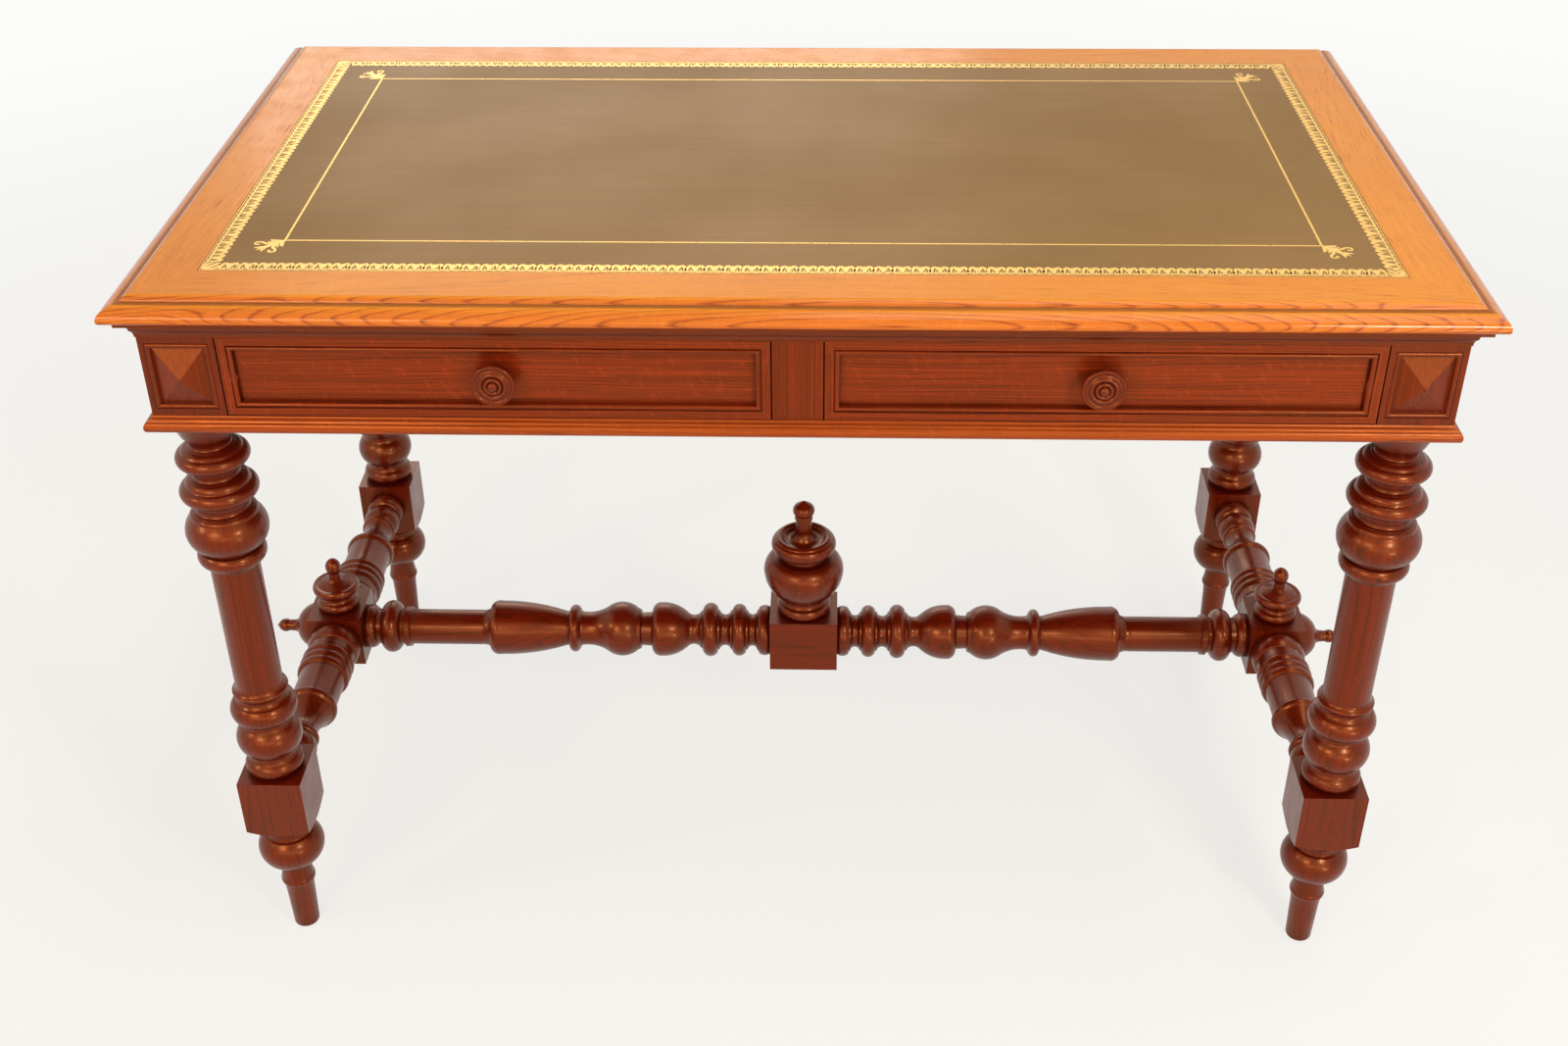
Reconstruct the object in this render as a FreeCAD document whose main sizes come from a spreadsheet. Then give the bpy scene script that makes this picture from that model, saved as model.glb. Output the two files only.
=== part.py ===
import FreeCAD
import Part
import Sketcher
import math
import os
import types

# A library writing table with turned legs joined by an H of turned stretchers, a frieze with
# two drawers, and a moulded top that holds a leather writing surface.
# The origin is on the floor under the centre of the top. The front, with the drawers, is at -Y.

# Driving sizes in millimetres. Everything else is worked out from them.
SIZES = {
    # The whole table: its height, and the spans between the leg axes.
    "table_tall": 760.0,
    "leg_span_x": 1062.0,
    "leg_span_y": 561.0,
    # The legs, from the floor up. The plain shaft takes what is left of the height.
    "peg_tall": 50.0,
    "ankle_tall": 94.5,
    "block_tall": 72.0,
    "block_square": 64.0,
    "shoulder_drop": 8.5,
    "vase_tall": 117.5,
    "rings_tall": 163.0,
    "post_square": 66.0,
    # The frieze, and the mouldings planted round its top and its foot.
    "frieze_tall": 111.5,
    "bed_tall": 21.0,
    "bed_reach": 12.8,
    "base_tall": 13.7,
    "base_reach": 7.8,
    # The top: its boards, its moulded edge and its leather.
    "board_thick": 19.0,
    "edge_reach": 22.2,
    "flat_set": 1.5,
    "border_wide": 45.0,
    "leather_thick": 1.5,
    # The frieze rails, the stile between the drawers and the sunk fields with their mouldings.
    "rail_thick": 20.0,
    "stile_wide": 44.0,
    "stile_deep": 24.0,
    "field_sink": 5.0,
    "field_border": 13.0,
    "bead_crest": 1.0,
    # The faceted panels on the posts, each let into a shallow recess.
    "corner_wide": 55.5,
    "corner_tall": 64.0,
    "corner_sink": 2.0,
    "corner_bead": 4.7,
    "corner_bead_rise": 3.0,
    "corner_quirk": 1.0,
    "pyramid_rise": 9.5,
    "pyramid_tip": 0.8,
    # The stretchers, with the square blocks in their middles and the round tenons at their ends.
    "side_block_square": 60.0,
    "side_block_long": 66.0,
    "long_block_square": 64.0,
    "long_block_wide": 76.0,
    "long_rings_run": 135.5,
    "long_vases_run": 196.5,
    "long_end_run": 52.0,
    "tenon_wide": 20.0,
    "tenon_long": 22.0,
    # The finials and end caps, each with a spigot in the block that carries it.
    "urn_tall": 144.0,
    "urn_wide": 87.6,
    "finial_tall": 63.0,
    "finial_wide": 52.0,
    "cap_long": 45.5,
    "cap_wide": 54.0,
    "spigot_wide": 12.0,
    "spigot_long": 13.0,
    "bore_clear": 0.2,
    # The drawers and their knobs.
    "drawer_long": 500.0,
    "drawer_gap": 1.2,
    "drawer_lift": 0.5,
    "front_thick": 20.0,
    "lining_thick": 10.0,
    "lining_tall": 75.0,
    "slide_clear": 0.3,
    "bottom_thick": 6.0,
    "bottom_raise": 6.0,
    "back_drop": 8.0,
    "knob_wide": 39.0,
    "knob_long": 23.0,
    "shank_wide": 12.0,
    # What carries the drawers inside the frieze.
    "runner_wide": 24.0,
    "guide_thick": 12.0,
    "guide_rise": 17.0,
    "stop_long": 34.0,
    "stop_deep": 12.0,
    "stop_tall": 4.0,
    # The wooden buttons and screws that hold the top down.
    "button_long": 44.0,
    "button_deep": 24.0,
    "button_tall": 14.0,
    "screw_wide": 4.0,
    "screw_bite": 11.0,
    "screw_head_wide": 8.4,
    "screw_head_tall": 3.0,
    # How far a cut runs past the wood that it leaves.
    "overrun": 6.0,
}


class Length:
    """A length as a number of millimetres and as the sheet expression that gives it."""

    def __init__(self, amount, text):
        self.amount = amount
        self.text = text

    def __add__(self, other):
        return Length(self.amount + other.amount, f"({self.text} + {other.text})")

    def __sub__(self, other):
        return Length(self.amount - other.amount, f"({self.text} - {other.text})")

    def __mul__(self, share):
        return Length(self.amount * share, f"{self.text} * {share}")

    def __neg__(self):
        return Length(-self.amount, f"(-{self.text})")


doc = FreeCAD.newDocument("LibraryTable")
sheet = doc.addObject("Spreadsheet::Sheet", "Sizes")
S = types.SimpleNamespace()
for row, (alias, amount) in enumerate(SIZES.items(), start=1):
    sheet.set(f"A{row}", alias)
    sheet.set(f"B{row}", str(amount))
    sheet.setAlias(f"B{row}", alias)
    setattr(S, alias, Length(amount, f"Sizes.{alias}"))
doc.recompute()

ZERO = Length(0.0, "0")
HALF = 0.5
nodes = []

# Turns used to stand pieces the way they lie in the table.
X_AXIS = FreeCAD.Vector(1, 0, 0)
Y_AXIS = FreeCAD.Vector(0, 1, 0)
Z_AXIS = FreeCAD.Vector(0, 0, 1)
UPRIGHT = FreeCAD.Rotation()
TO_FRONT = FreeCAD.Rotation(X_AXIS, 90)
TO_LEFT = FreeCAD.Rotation(Y_AXIS, -90)
TO_RIGHT = FreeCAD.Rotation(Y_AXIS, 90)
PROFILE_TURN = FreeCAD.Rotation(FreeCAD.Vector(1, 1, 1), 120)

# Planes and lines that several pieces share.
half_x = S.leg_span_x * HALF
half_y = S.leg_span_y * HALF
post_half = S.post_square * HALF
face_x = half_x + post_half
face_y = half_y + post_half
inner_x = half_x - post_half
inner_y = half_y - post_half
top_under = S.table_tall - S.board_thick
frieze_under = top_under - S.frieze_tall
field_low = frieze_under + S.base_tall
field_high = top_under - S.bed_tall
field_tall = field_high - field_low
field_mid = field_low + field_tall * HALF
stile_half = S.stile_wide * HALF
block_low = S.peg_tall + S.ankle_tall
block_high = block_low + S.block_tall
stretcher_high = block_low + (S.shoulder_drop + S.block_tall) * HALF
rail_inner_x = face_x - S.field_sink - S.rail_thick
rail_inner_y = face_y - S.field_sink - S.rail_thick


def bind(item, **lengths):
    """Ties properties of an object to the sheet."""
    for name, length in lengths.items():
        item.setExpression(name, length.text)


def place(item, corner, turn=UPRIGHT):
    """Turns an object and ties its position to the sheet."""
    item.Placement = FreeCAD.Placement(FreeCAD.Vector(), turn)
    for letter, length in zip("xyz", corner):
        item.setExpression(f"Placement.Base.{letter}", length.text)


def keep(item, label):
    """Makes an object one of the table's pieces."""
    item.Label = label
    nodes.append(item)
    return item


def box(name, corner, sides):
    """A squared piece, from its least corner."""
    item = doc.addObject("Part::Box", name)
    bind(item, Length=sides[0], Width=sides[1], Height=sides[2])
    place(item, corner)
    return item


def rod(name, start, wide, long, turn=UPRIGHT):
    """A round piece or bore, from the middle of its first end."""
    item = doc.addObject("Part::Cylinder", name)
    bind(item, Radius=wide * HALF, Height=long)
    place(item, start, turn)
    return item


def group(name, members):
    """Several solids that count as one piece."""
    item = doc.addObject("Part::Compound", name)
    item.Links = members
    return item


def cut(name, base, tools):
    """A piece with every tool cut away from it."""
    item = doc.addObject("Part::Cut", name)
    item.Base = base
    item.Tool = tools[0] if len(tools) == 1 else group(name + "_tools", tools)
    return item


def mirrored(source, label, normal):
    """The same piece on the other side of the table."""
    item = doc.addObject("Part::Mirroring", label)
    item.Source = source
    item.Normal = normal
    return keep(item, label)


def shaped(shares, run, reach, run_start=ZERO, reach_start=ZERO):
    """Outline points from rows of shares. A row gives where a point lies along a run and how
    far it reaches out. In a row of four, the first two are a point that an arc passes
    through, and the last two are the arc's end."""
    points = []
    for row in shares:
        point = []
        for along, out in zip(row[::2], row[1::2]):
            point += [reach_start + reach * out, run_start + run * along]
        points.append(point)
    return points


def dimensions(geometry, corner, point):
    """Constraints that hold one sketch point, with the expression of each."""
    rows = []
    for kind, length, axis in zip(("DistanceX", "DistanceY"), point, (-2, -1)):
        if length.amount == 0:
            rows.append((Sketcher.Constraint("PointOnObject", geometry, corner, axis), None))
        else:
            rows.append((Sketcher.Constraint(kind, -1, 1, geometry, corner, length.amount), length.text))
    return rows


def draw(sketch, points):
    """Draws a closed outline of straight runs and arcs, with every point held by the sheet."""
    spots = []
    for point in points:
        numbers = [length.amount for length in point]
        spots.append([FreeCAD.Vector(x, y, 0) for x, y in zip(numbers[::2], numbers[1::2])])
    for index, spot in enumerate(spots):
        start = spots[index - 1][-1]
        edge = Part.Arc(start, *spot) if len(spot) == 2 else Part.LineSegment(start, spot[0])
        sketch.addGeometry(edge, False)
    # An arc runs counterclockwise, so its first end may be the outline's later point.
    firsts = []
    for index in range(len(spots)):
        start = spots[index - 1][-1]
        firsts.append(1 if sketch.getPoint(index, 1).isEqual(start, 1e-7) else 2)
    rows = []
    for index, point in enumerate(points):
        before = (index - 1) % len(points)
        joint = Sketcher.Constraint("Coincident", before, 3 - firsts[before], index, firsts[index])
        rows.append((joint, None))
        rows += dimensions(index, 3 - firsts[index], point[-2:])
        if len(point) == 4:
            through = sketch.addGeometry(Part.Point(spots[index][0]), True)
            rows.append((Sketcher.Constraint("PointOnObject", through, 1, index), None))
            rows += dimensions(through, 1, point[:2])
    sketch.addConstraint([constraint for constraint, text in rows])
    for number, (constraint, text) in enumerate(rows):
        if text:
            sketch.setExpression(f"Constraints[{number}]", text)


def body_sketch(body, name, points):
    """An outline on the body's own upright plane."""
    plane = next(item for item in body.Origin.OriginFeatures if item.Role == "XZ_Plane")
    sketch = body.newObject("Sketcher::SketchObject", name)
    sketch.AttachmentSupport = [(plane, "")]
    sketch.MapMode = "FlatFace"
    draw(sketch, points)
    return sketch


def turning(body, name, points, kind="PartDesign::Revolution"):
    """Turned work: an outline spun about the body's own upright axis."""
    sketch = body_sketch(body, name + "_outline", points)
    feature = body.newObject(kind, name)
    feature.Profile = sketch
    feature.ReferenceAxis = (sketch, ["V_Axis"])
    feature.Angle = 360
    sketch.Visibility = False
    return feature


def squared(body, name, wide, tall, low):
    """A square length of the stock, centred on the body's own axis."""
    feature = body.newObject("PartDesign::AdditiveBox", name)
    bind(feature, Length=wide, Width=wide, Height=tall)
    place(feature, (-(wide * HALF), -(wide * HALF), low))
    return feature


# The legs. Shares run up each length of the leg, and out from its axis to half the post.
PEG_SHARES = [(0.0, 0.376), (0.04, 0.4), (1.0, 0.445)]
ANKLE_SHARES = [
    (0.108, 0.473), (0.121, 0.515), (0.157, 0.536, 0.19, 0.509), (0.265, 0.479, 0.36, 0.455),
    (0.406, 0.467), (0.423, 0.594), (0.607, 1.009, 0.838, 0.782), (0.853, 0.709),
    (0.915, 0.679, 1.0, 0.848),
]
VASE_SHARES = [
    (0.0, 0.758), (0.008, 0.77), (0.069, 0.876, 0.132, 0.77), (0.142, 0.733),
    (0.181, 0.685, 0.22, 0.721), (0.226, 0.8), (0.341, 0.979, 0.496, 0.752),
    (0.532, 0.709, 0.569, 0.739), (0.574, 0.848), (0.656, 0.988, 0.75, 0.855), (0.758, 0.788),
    (0.765, 0.764), (0.804, 0.703, 0.843, 0.782), (0.86, 0.824, 0.877, 0.794),
    (0.896, 0.727, 0.932, 0.697),
]
RING_SHARES = [
    (0.0, 0.703), (0.02, 0.764, 0.03, 0.861), (0.068, 0.97, 0.116, 0.879), (0.122, 0.818),
    (0.139, 0.83), (0.142, 0.933), (0.23, 1.152, 0.339, 0.964), (0.344, 0.945),
    (0.364, 0.921, 0.375, 0.855), (0.379, 0.836), (0.387, 0.764, 0.408, 0.739), (0.457, 0.794),
    (0.461, 0.927), (0.507, 1.091, 0.553, 0.915), (0.558, 0.897), (0.582, 0.848, 0.596, 0.745),
    (0.599, 0.727), (0.607, 0.655, 0.626, 0.636), (0.677, 0.691), (0.68, 0.861),
    (0.725, 1.018, 0.766, 0.858), (0.77, 0.842), (0.785, 0.77, 0.792, 0.667), (0.796, 0.648),
    (0.8, 0.588, 0.81, 0.57), (0.819, 0.573), (0.846, 0.624, 0.872, 0.739), (0.975, 0.964),
    (1.0, 0.988),
]
# The wood that the lathe takes off the foot of the block, out from its axis to half the block.
SHOULDER_SHARES = [(0.0, 0.875), (0.294, 1.0), (1.0, 1.425)]


def leg_blank():
    """A leg as it leaves the lathe: peg foot, ankle, block, vase, shaft, rings and post."""
    body = doc.addObject("PartDesign::Body", "leg_blank")
    rings_low = frieze_under - S.rings_tall
    points = [[ZERO, ZERO]]
    points += shaped(PEG_SHARES, S.peg_tall, post_half)
    points += shaped(ANKLE_SHARES, S.ankle_tall, post_half, S.peg_tall)
    points += shaped(VASE_SHARES, S.vase_tall, post_half, block_high)
    points += shaped(RING_SHARES, S.rings_tall, post_half, rings_low)
    points += [[ZERO, frieze_under]]
    turning(body, "leg_turning", points)
    squared(body, "leg_block", S.block_square, S.block_tall, block_low)
    squared(body, "leg_post", S.post_square, S.frieze_tall, frieze_under)
    shoulder = shaped(SHOULDER_SHARES, S.shoulder_drop, S.block_square * HALF, block_low)
    past = S.block_square * HALF * math.sqrt(2) + S.overrun
    shoulder += [[past, block_low + S.shoulder_drop], [past, block_low - S.overrun]]
    shoulder += [[shoulder[0][0], block_low - S.overrun]]
    turning(body, "leg_shoulder", shoulder, "PartDesign::Groove")
    place(body, (-half_x, -half_y, ZERO))
    return body


def post_recesses():
    """The shallow recesses in the post's two outer faces, and the block's round mortise."""
    low = field_mid - S.corner_tall * HALF
    wide_half = S.corner_wide * HALF
    deep = S.corner_sink + S.overrun
    front = box("front_recess", (-half_x - wide_half, -face_y - S.overrun, low),
                (S.corner_wide, deep, S.corner_tall))
    side = box("side_recess", (-face_x - S.overrun, -half_y - wide_half, low),
               (deep, S.corner_wide, S.corner_tall))
    shoulder_y = -half_y + S.block_square * HALF + S.overrun
    mortise = rod("leg_mortise", (-half_x, shoulder_y, stretcher_high), S.tenon_wide + S.bore_clear * 2,
                  S.overrun + S.tenon_long + S.bore_clear, TO_FRONT)
    return [front, side, mortise]


def across_table(piece, name):
    """The four copies of a piece that stands at each corner."""
    keep(piece, name + "_front_left")
    mirrored(piece, name + "_front_right", X_AXIS)
    rear = mirrored(piece, name + "_rear_left", Y_AXIS)
    mirrored(rear, name + "_rear_right", X_AXIS)


across_table(cut("leg_cut", leg_blank(), post_recesses()), "leg")


# Mouldings. Shares run up from the foot of each profile, and out from its back.
def profile(name, points):
    """A moulding's cross-section, out along Y and up along Z."""
    sketch = doc.addObject("Sketcher::SketchObject", name)
    sketch.Placement = FreeCAD.Placement(FreeCAD.Vector(), PROFILE_TURN)
    draw(sketch, points)
    return sketch


def strip(name, section, long, wide, tall, slope):
    """A straight moulding with both ends mitred. Along its back it is as long as given, and it
    grows longer outward where slope is 1, and shorter where it is -1."""
    bar = doc.addObject("Part::Extrusion", name + "_bar")
    bar.Base = section
    bar.DirMode = "Custom"
    bar.Dir = X_AXIS
    bar.Solid = True
    bar.Symmetric = True
    bind(bar, LengthFwd=long + wide * 2)
    saw = (wide + S.overrun) * 4
    saws = []
    for side in (-1, 1):
        angle = math.radians(-45 * slope if side == 1 else 180 + 45 * slope)
        corner = (
            long * (side * HALF) + saw * (math.sin(angle) * HALF),
            -(saw * (math.cos(angle) * HALF)),
            -S.overrun,
        )
        tool = box(f"{name}_saw_{'left' if side < 0 else 'right'}", corner, (saw, saw, tall + S.overrun * 2))
        place(tool, corner, FreeCAD.Rotation(Z_AXIS, math.degrees(angle)))
        saws.append(tool)
    return cut(name, bar, saws)


def ring(name, section, back_x, back_y, low, wide, tall, bores=None):
    """Four mitred mouldings round the table, from the planes that their backs lie on, with
    any bores that a side has."""
    sides = {
        "front": (back_x, (ZERO, -back_y), 180),
        "rear": (back_x, (ZERO, back_y), 0),
        "left": (back_y, (-back_x, ZERO), 90),
        "right": (back_y, (back_x, ZERO), -90),
    }
    for side, (half_long, (x, y), turn) in sides.items():
        piece = strip(f"{name}_{side}_strip", section, half_long * 2, wide, tall, 1)
        place(piece, (x, y, low), FreeCAD.Rotation(Z_AXIS, turn))
        if bores and side in bores:
            piece = cut(f"{name}_{side}_bored", piece, bores[side])
        keep(piece, f"{name}_{side}")


def frame(name, section, long, high, wide, rise):
    """Four mitred mouldings round a field, laid flat about its middle, facing up."""
    strips = []
    for number in range(4):
        lies_across = number % 2 == 0
        piece = strip(f"{name}_{number}", section, long if lies_across else high, wide, rise, -1)
        angle = math.radians(90 * number)
        away = (high if lies_across else long) * HALF
        corner = (away * round(math.sin(angle)), -(away * round(math.cos(angle))), ZERO)
        place(piece, corner, FreeCAD.Rotation(Z_AXIS, 90 * number))
        strips.append(piece)
    return group(name, strips)


# The moulded edge of the top: a rounded step, a groove, and an ovolo that turns under.
EDGE_SHARES = [
    (1.0, 0.0), (0.955, 0.154, 0.83, 0.275), (0.755, 0.29), (0.72, 0.57, 0.58, 0.8),
    (0.43, 0.945, 0.26, 1.0), (0.1, 0.985, 0.0, 0.9),
]
# The bed moulding under it: a fillet over two hollows.
BED_SHARES = [
    (0.0, 0.0), (0.0, 0.08), (0.048, 0.08), (0.22, 0.14, 0.343, 0.3), (0.381, 0.3),
    (0.59, 0.47, 0.69, 1.0), (1.0, 1.0), (1.0, 0.0),
]
# The base moulding: a hollow, a fillet and a rounded nose.
BASE_SHARES = [
    (0.0, 0.0), (0.0, 0.83), (0.31, 1.0, 0.62, 0.8), (0.66, 0.62), (0.8, 0.5),
    (0.86, 0.2, 0.98, 0.05), (1.0, 0.05), (1.0, 0.0),
]

# The buttons that hold the top, by rail: shares of half the run between the posts.
BUTTON_SIDE_SHARES = (-0.6, 0.6)
BUTTON_REAR_SHARES = (-0.5, 0.5)


def button_places():
    """The side of the table that each button is on, and its middle."""
    places = []
    reach_x = rail_inner_x - S.button_deep * HALF
    reach_y = rail_inner_y - S.button_deep * HALF
    for share in BUTTON_SIDE_SHARES:
        places.append(("left", -reach_x, inner_y * share))
        places.append(("right", reach_x, inner_y * share))
    for share in BUTTON_REAR_SHARES:
        places.append(("rear", inner_x * share, reach_y))
    return places


def top_fixings():
    """The buttons, their screws, and the pilot holes that the screws need in the top's frame."""
    buttons = []
    screws = []
    pilots = {"left": [], "right": [], "rear": []}
    low = top_under - S.button_tall
    for number, (side, x, y) in enumerate(button_places()):
        sides = (S.button_long, S.button_deep) if side == "rear" else (S.button_deep, S.button_long)
        blank = box(f"button_blank_{number}", (x - sides[0] * HALF, y - sides[1] * HALF, low),
                    (sides[0], sides[1], S.button_tall))
        bore = S.screw_wide + S.bore_clear * 2
        through = rod(f"button_bore_{number}", (x, y, low - S.overrun), bore, S.button_tall + S.overrun * 2)
        buttons.append(cut(f"button_{number}", blank, [through]))
        shank = rod(f"screw_shank_{number}", (x, y, low), S.screw_wide, S.button_tall + S.screw_bite)
        head = rod(f"screw_head_{number}", (x, y, low - S.screw_head_tall), S.screw_head_wide, S.screw_head_tall)
        screw = doc.addObject("Part::Fuse", f"screw_{number}")
        screw.Base = head
        screw.Tool = shank
        screws.append(screw)
        pilots[side].append(rod(f"pilot_{number}", (x, y, top_under - S.overrun), bore,
                                S.overrun + S.screw_bite + S.bore_clear))
    keep(group("buttons", buttons), "top_buttons")
    keep(group("screws", screws), "button_screws")
    return pilots


frame_inner_x = face_x - S.flat_set - S.border_wide
frame_inner_y = face_y - S.flat_set - S.border_wide
edge_run = S.flat_set + S.edge_reach
edge_points = [[ZERO, ZERO], [ZERO, S.board_thick]]
edge_points += shaped(EDGE_SHARES, S.board_thick, edge_run, ZERO, S.border_wide)
edge_profile = profile("edge_profile", edge_points)
bed_profile = profile("bed_profile", shaped(BED_SHARES, S.bed_tall, S.bed_reach))
base_profile = profile("base_profile", shaped(BASE_SHARES, S.base_tall, S.base_reach))

ring("top_frame", edge_profile, frame_inner_x, frame_inner_y, top_under,
     S.border_wide + edge_run, S.board_thick, top_fixings())
ring("bed_moulding", bed_profile, face_x, face_y, field_high, S.bed_reach, S.bed_tall)
ring("base_moulding", base_profile, face_x, face_y, frieze_under, S.base_reach, S.base_tall)

# The panel inside the frame of the top, and the leather let in flush above it.
keep(box("panel", (-frame_inner_x, -frame_inner_y, top_under),
         (frame_inner_x * 2, frame_inner_y * 2, S.board_thick - S.leather_thick)), "top_panel")
keep(box("leather", (-frame_inner_x, -frame_inner_y, S.table_tall - S.leather_thick),
         (frame_inner_x * 2, frame_inner_y * 2, S.leather_thick)), "writing_leather")


# The front of the frieze: two rails as deep as the posts, and the stile between the drawers.
keep(box("top_rail", (-inner_x, -face_y, field_high), (inner_x * 2, S.post_square, S.bed_tall)),
     "front_top_rail")
keep(box("bottom_rail", (-inner_x, -face_y, frieze_under), (inner_x * 2, S.post_square, S.base_tall)),
     "front_bottom_rail")
keep(box("stile", (-stile_half, -face_y, field_low), (S.stile_wide, S.stile_deep, field_tall)),
     "centre_stile")


def side_rail():
    """The left rail, with its sunk field between the posts."""
    board = box("side_board", (-face_x, -inner_y, frieze_under),
                (S.field_sink + S.rail_thick, inner_y * 2, S.frieze_tall))
    field = box("side_field", (-face_x - S.overrun, -inner_y - S.overrun, field_low),
                (S.field_sink + S.overrun, (inner_y + S.overrun) * 2, field_tall))
    return cut("side_rail", board, [field])


def rear_rail():
    """The rear rail, with two sunk fields as wide as the drawer openings."""
    board = box("rear_board", (-inner_x, rail_inner_y, frieze_under),
                (inner_x * 2, S.field_sink + S.rail_thick, S.frieze_tall))
    fields = []
    for side, low_x in (("left", -inner_x - S.overrun), ("right", stile_half)):
        fields.append(box(f"rear_field_{side}", (low_x, face_y - S.field_sink, field_low),
                          (inner_x + S.overrun - stile_half, S.field_sink + S.overrun, field_tall)))
    return cut("rear_rail_cut", board, fields)


left_rail = keep(side_rail(), "left_rail")
mirrored(left_rail, "right_rail", X_AXIS)
keep(rear_rail(), "rear_rail")

# The moulding round each sunk field: a flat border, a quirk and a bead.
FIELD_SHARES = [
    (0.0, 0.0), (0.833, 0.0), (0.833, 0.577), (0.63, 0.592), (0.63, 0.646),
    (1.0, 0.815, 0.68, 0.985), (0.5, 1.0), (0.0, 1.0),
]
# The bead round each faceted panel.
CORNER_SHARES = [(0.0, 0.0), (0.4, 0.0), (1.0, 0.5, 0.4, 1.0), (0.0, 1.0)]

field_rise = S.field_sink + S.bead_crest
field_profile = profile("field_profile", shaped(FIELD_SHARES, field_rise, S.field_border))
corner_profile = profile("corner_profile", shaped(CORNER_SHARES, S.corner_bead_rise, S.corner_bead))
opening_wide = inner_x - stile_half
opening_mid = stile_half + opening_wide * HALF
FACING_LEFT = FreeCAD.Rotation(Z_AXIS, -90).multiply(TO_FRONT)
FACING_REAR = FreeCAD.Rotation(Z_AXIS, 180).multiply(TO_FRONT)

side_moulding = frame("side_moulding", field_profile, inner_y * 2, field_tall, S.field_border, field_rise)
place(side_moulding, (-face_x + S.field_sink, ZERO, field_mid), FACING_LEFT)
keep(side_moulding, "left_field_moulding")
mirrored(side_moulding, "right_field_moulding", X_AXIS)

rear_mouldings = []
for side, x in (("left", -opening_mid), ("right", opening_mid)):
    piece = frame(f"rear_moulding_{side}", field_profile, opening_wide, field_tall, S.field_border, field_rise)
    place(piece, (x, face_y - S.field_sink, field_mid), FACING_REAR)
    rear_mouldings.append(piece)
keep(group("rear_mouldings", rear_mouldings), "rear_field_mouldings")


def pyramid(name, wide, tall):
    """A faceted panel, rising along Y from its least corner to a small flat tip."""
    item = doc.addObject("Part::Wedge", name)
    tip_half = S.pyramid_tip * HALF
    bind(item, Xmax=wide, Zmax=tall, Ymax=S.pyramid_rise)
    bind(item, X2min=wide * HALF - tip_half, X2max=wide * HALF + tip_half)
    bind(item, Z2min=tall * HALF - tip_half, Z2max=tall * HALF + tip_half)
    return item


def corner_panels():
    """The faceted panels and their beads on both outer faces of the front left post."""
    inset = (S.corner_bead + S.corner_quirk) * 2
    wide = S.corner_wide - inset
    tall = S.corner_tall - inset
    low = field_mid - tall * HALF
    floor_x = -face_x + S.corner_sink
    floor_y = -face_y + S.corner_sink
    front = pyramid("front_pyramid", wide, tall)
    place(front, (-half_x + wide * HALF, floor_y, low), FreeCAD.Rotation(Z_AXIS, 180))
    side = pyramid("side_pyramid", wide, tall)
    place(side, (floor_x, -half_y - wide * HALF, low), FreeCAD.Rotation(Z_AXIS, 90))
    members = [front, side]
    for name, spot, turn in (
        ("front_bead", (-half_x, floor_y, field_mid), TO_FRONT),
        ("side_bead", (floor_x, -half_y, field_mid), FACING_LEFT),
    ):
        bead = frame(name, corner_profile, S.corner_wide, S.corner_tall, S.corner_bead, S.corner_bead_rise)
        place(bead, spot, turn)
        members.append(bead)
    return group("corner_panels", members)


across_table(corner_panels(), "corner_panels")


# The stretchers. Shares run from the square block to the shoulder, and out to half the block.
LONG_RING_SHARES = [
    (0.0, 0.828), (0.048, 0.9, 0.096, 0.822), (0.1, 0.738), (0.112, 0.725), (0.151, 0.562, 0.19, 0.694),
    (0.202, 0.706), (0.207, 0.787), (0.262, 0.928, 0.317, 0.787), (0.322, 0.713), (0.334, 0.7),
    (0.38, 0.55, 0.428, 0.706), (0.44, 0.719), (0.444, 0.8), (0.506, 0.959, 0.567, 0.781),
    (0.571, 0.694), (0.583, 0.675), (0.638, 0.525, 0.694, 0.609), (0.712, 0.672),
    (0.841, 0.938, 0.915, 0.963), (0.97, 0.894, 0.993, 0.75), (1.0, 0.609),
]
LONG_VASE_SHARES = [
    (0.056, 0.584), (0.064, 0.703), (0.081, 0.75), (0.155, 0.963, 0.242, 0.859),
    (0.318, 0.631, 0.399, 0.6), (0.41, 0.619), (0.42, 0.731), (0.448, 0.844, 0.476, 0.731),
    (0.483, 0.613), (0.496, 0.613), (0.684, 0.881, 0.878, 0.963), (0.913, 0.944, 0.934, 0.838),
    (0.937, 0.713), (0.959, 0.644, 1.0, 0.625),
]
LONG_END_SHARES = [
    (0.0, 0.625), (0.019, 0.706), (0.127, 0.725), (0.154, 0.641), (0.221, 0.641), (0.262, 0.75),
    (0.452, 0.931, 0.635, 0.75), (0.663, 0.625), (0.75, 0.625), (0.875, 0.775, 1.0, 0.75),
]
SIDE_SHARES = [
    (0.0, 0.88), (0.046, 0.973, 0.093, 0.887), (0.097, 0.833), (0.105, 0.867), (0.153, 0.873),
    (0.156, 0.893), (0.183, 0.963, 0.211, 0.893), (0.237, 0.963, 0.263, 0.893),
    (0.287, 0.957, 0.311, 0.887), (0.314, 0.84), (0.413, 0.82, 0.514, 0.833), (0.518, 0.85),
    (0.543, 0.927, 0.568, 0.833), (0.571, 0.813), (0.617, 0.647, 0.668, 0.54),
    (0.71, 0.52, 0.754, 0.587), (0.773, 0.667, 0.794, 0.577), (0.8, 0.577), (0.807, 0.627),
    (0.856, 0.717, 0.907, 0.593), (0.916, 0.593), (0.923, 0.667), (0.963, 0.75, 1.0, 0.683),
]


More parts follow.
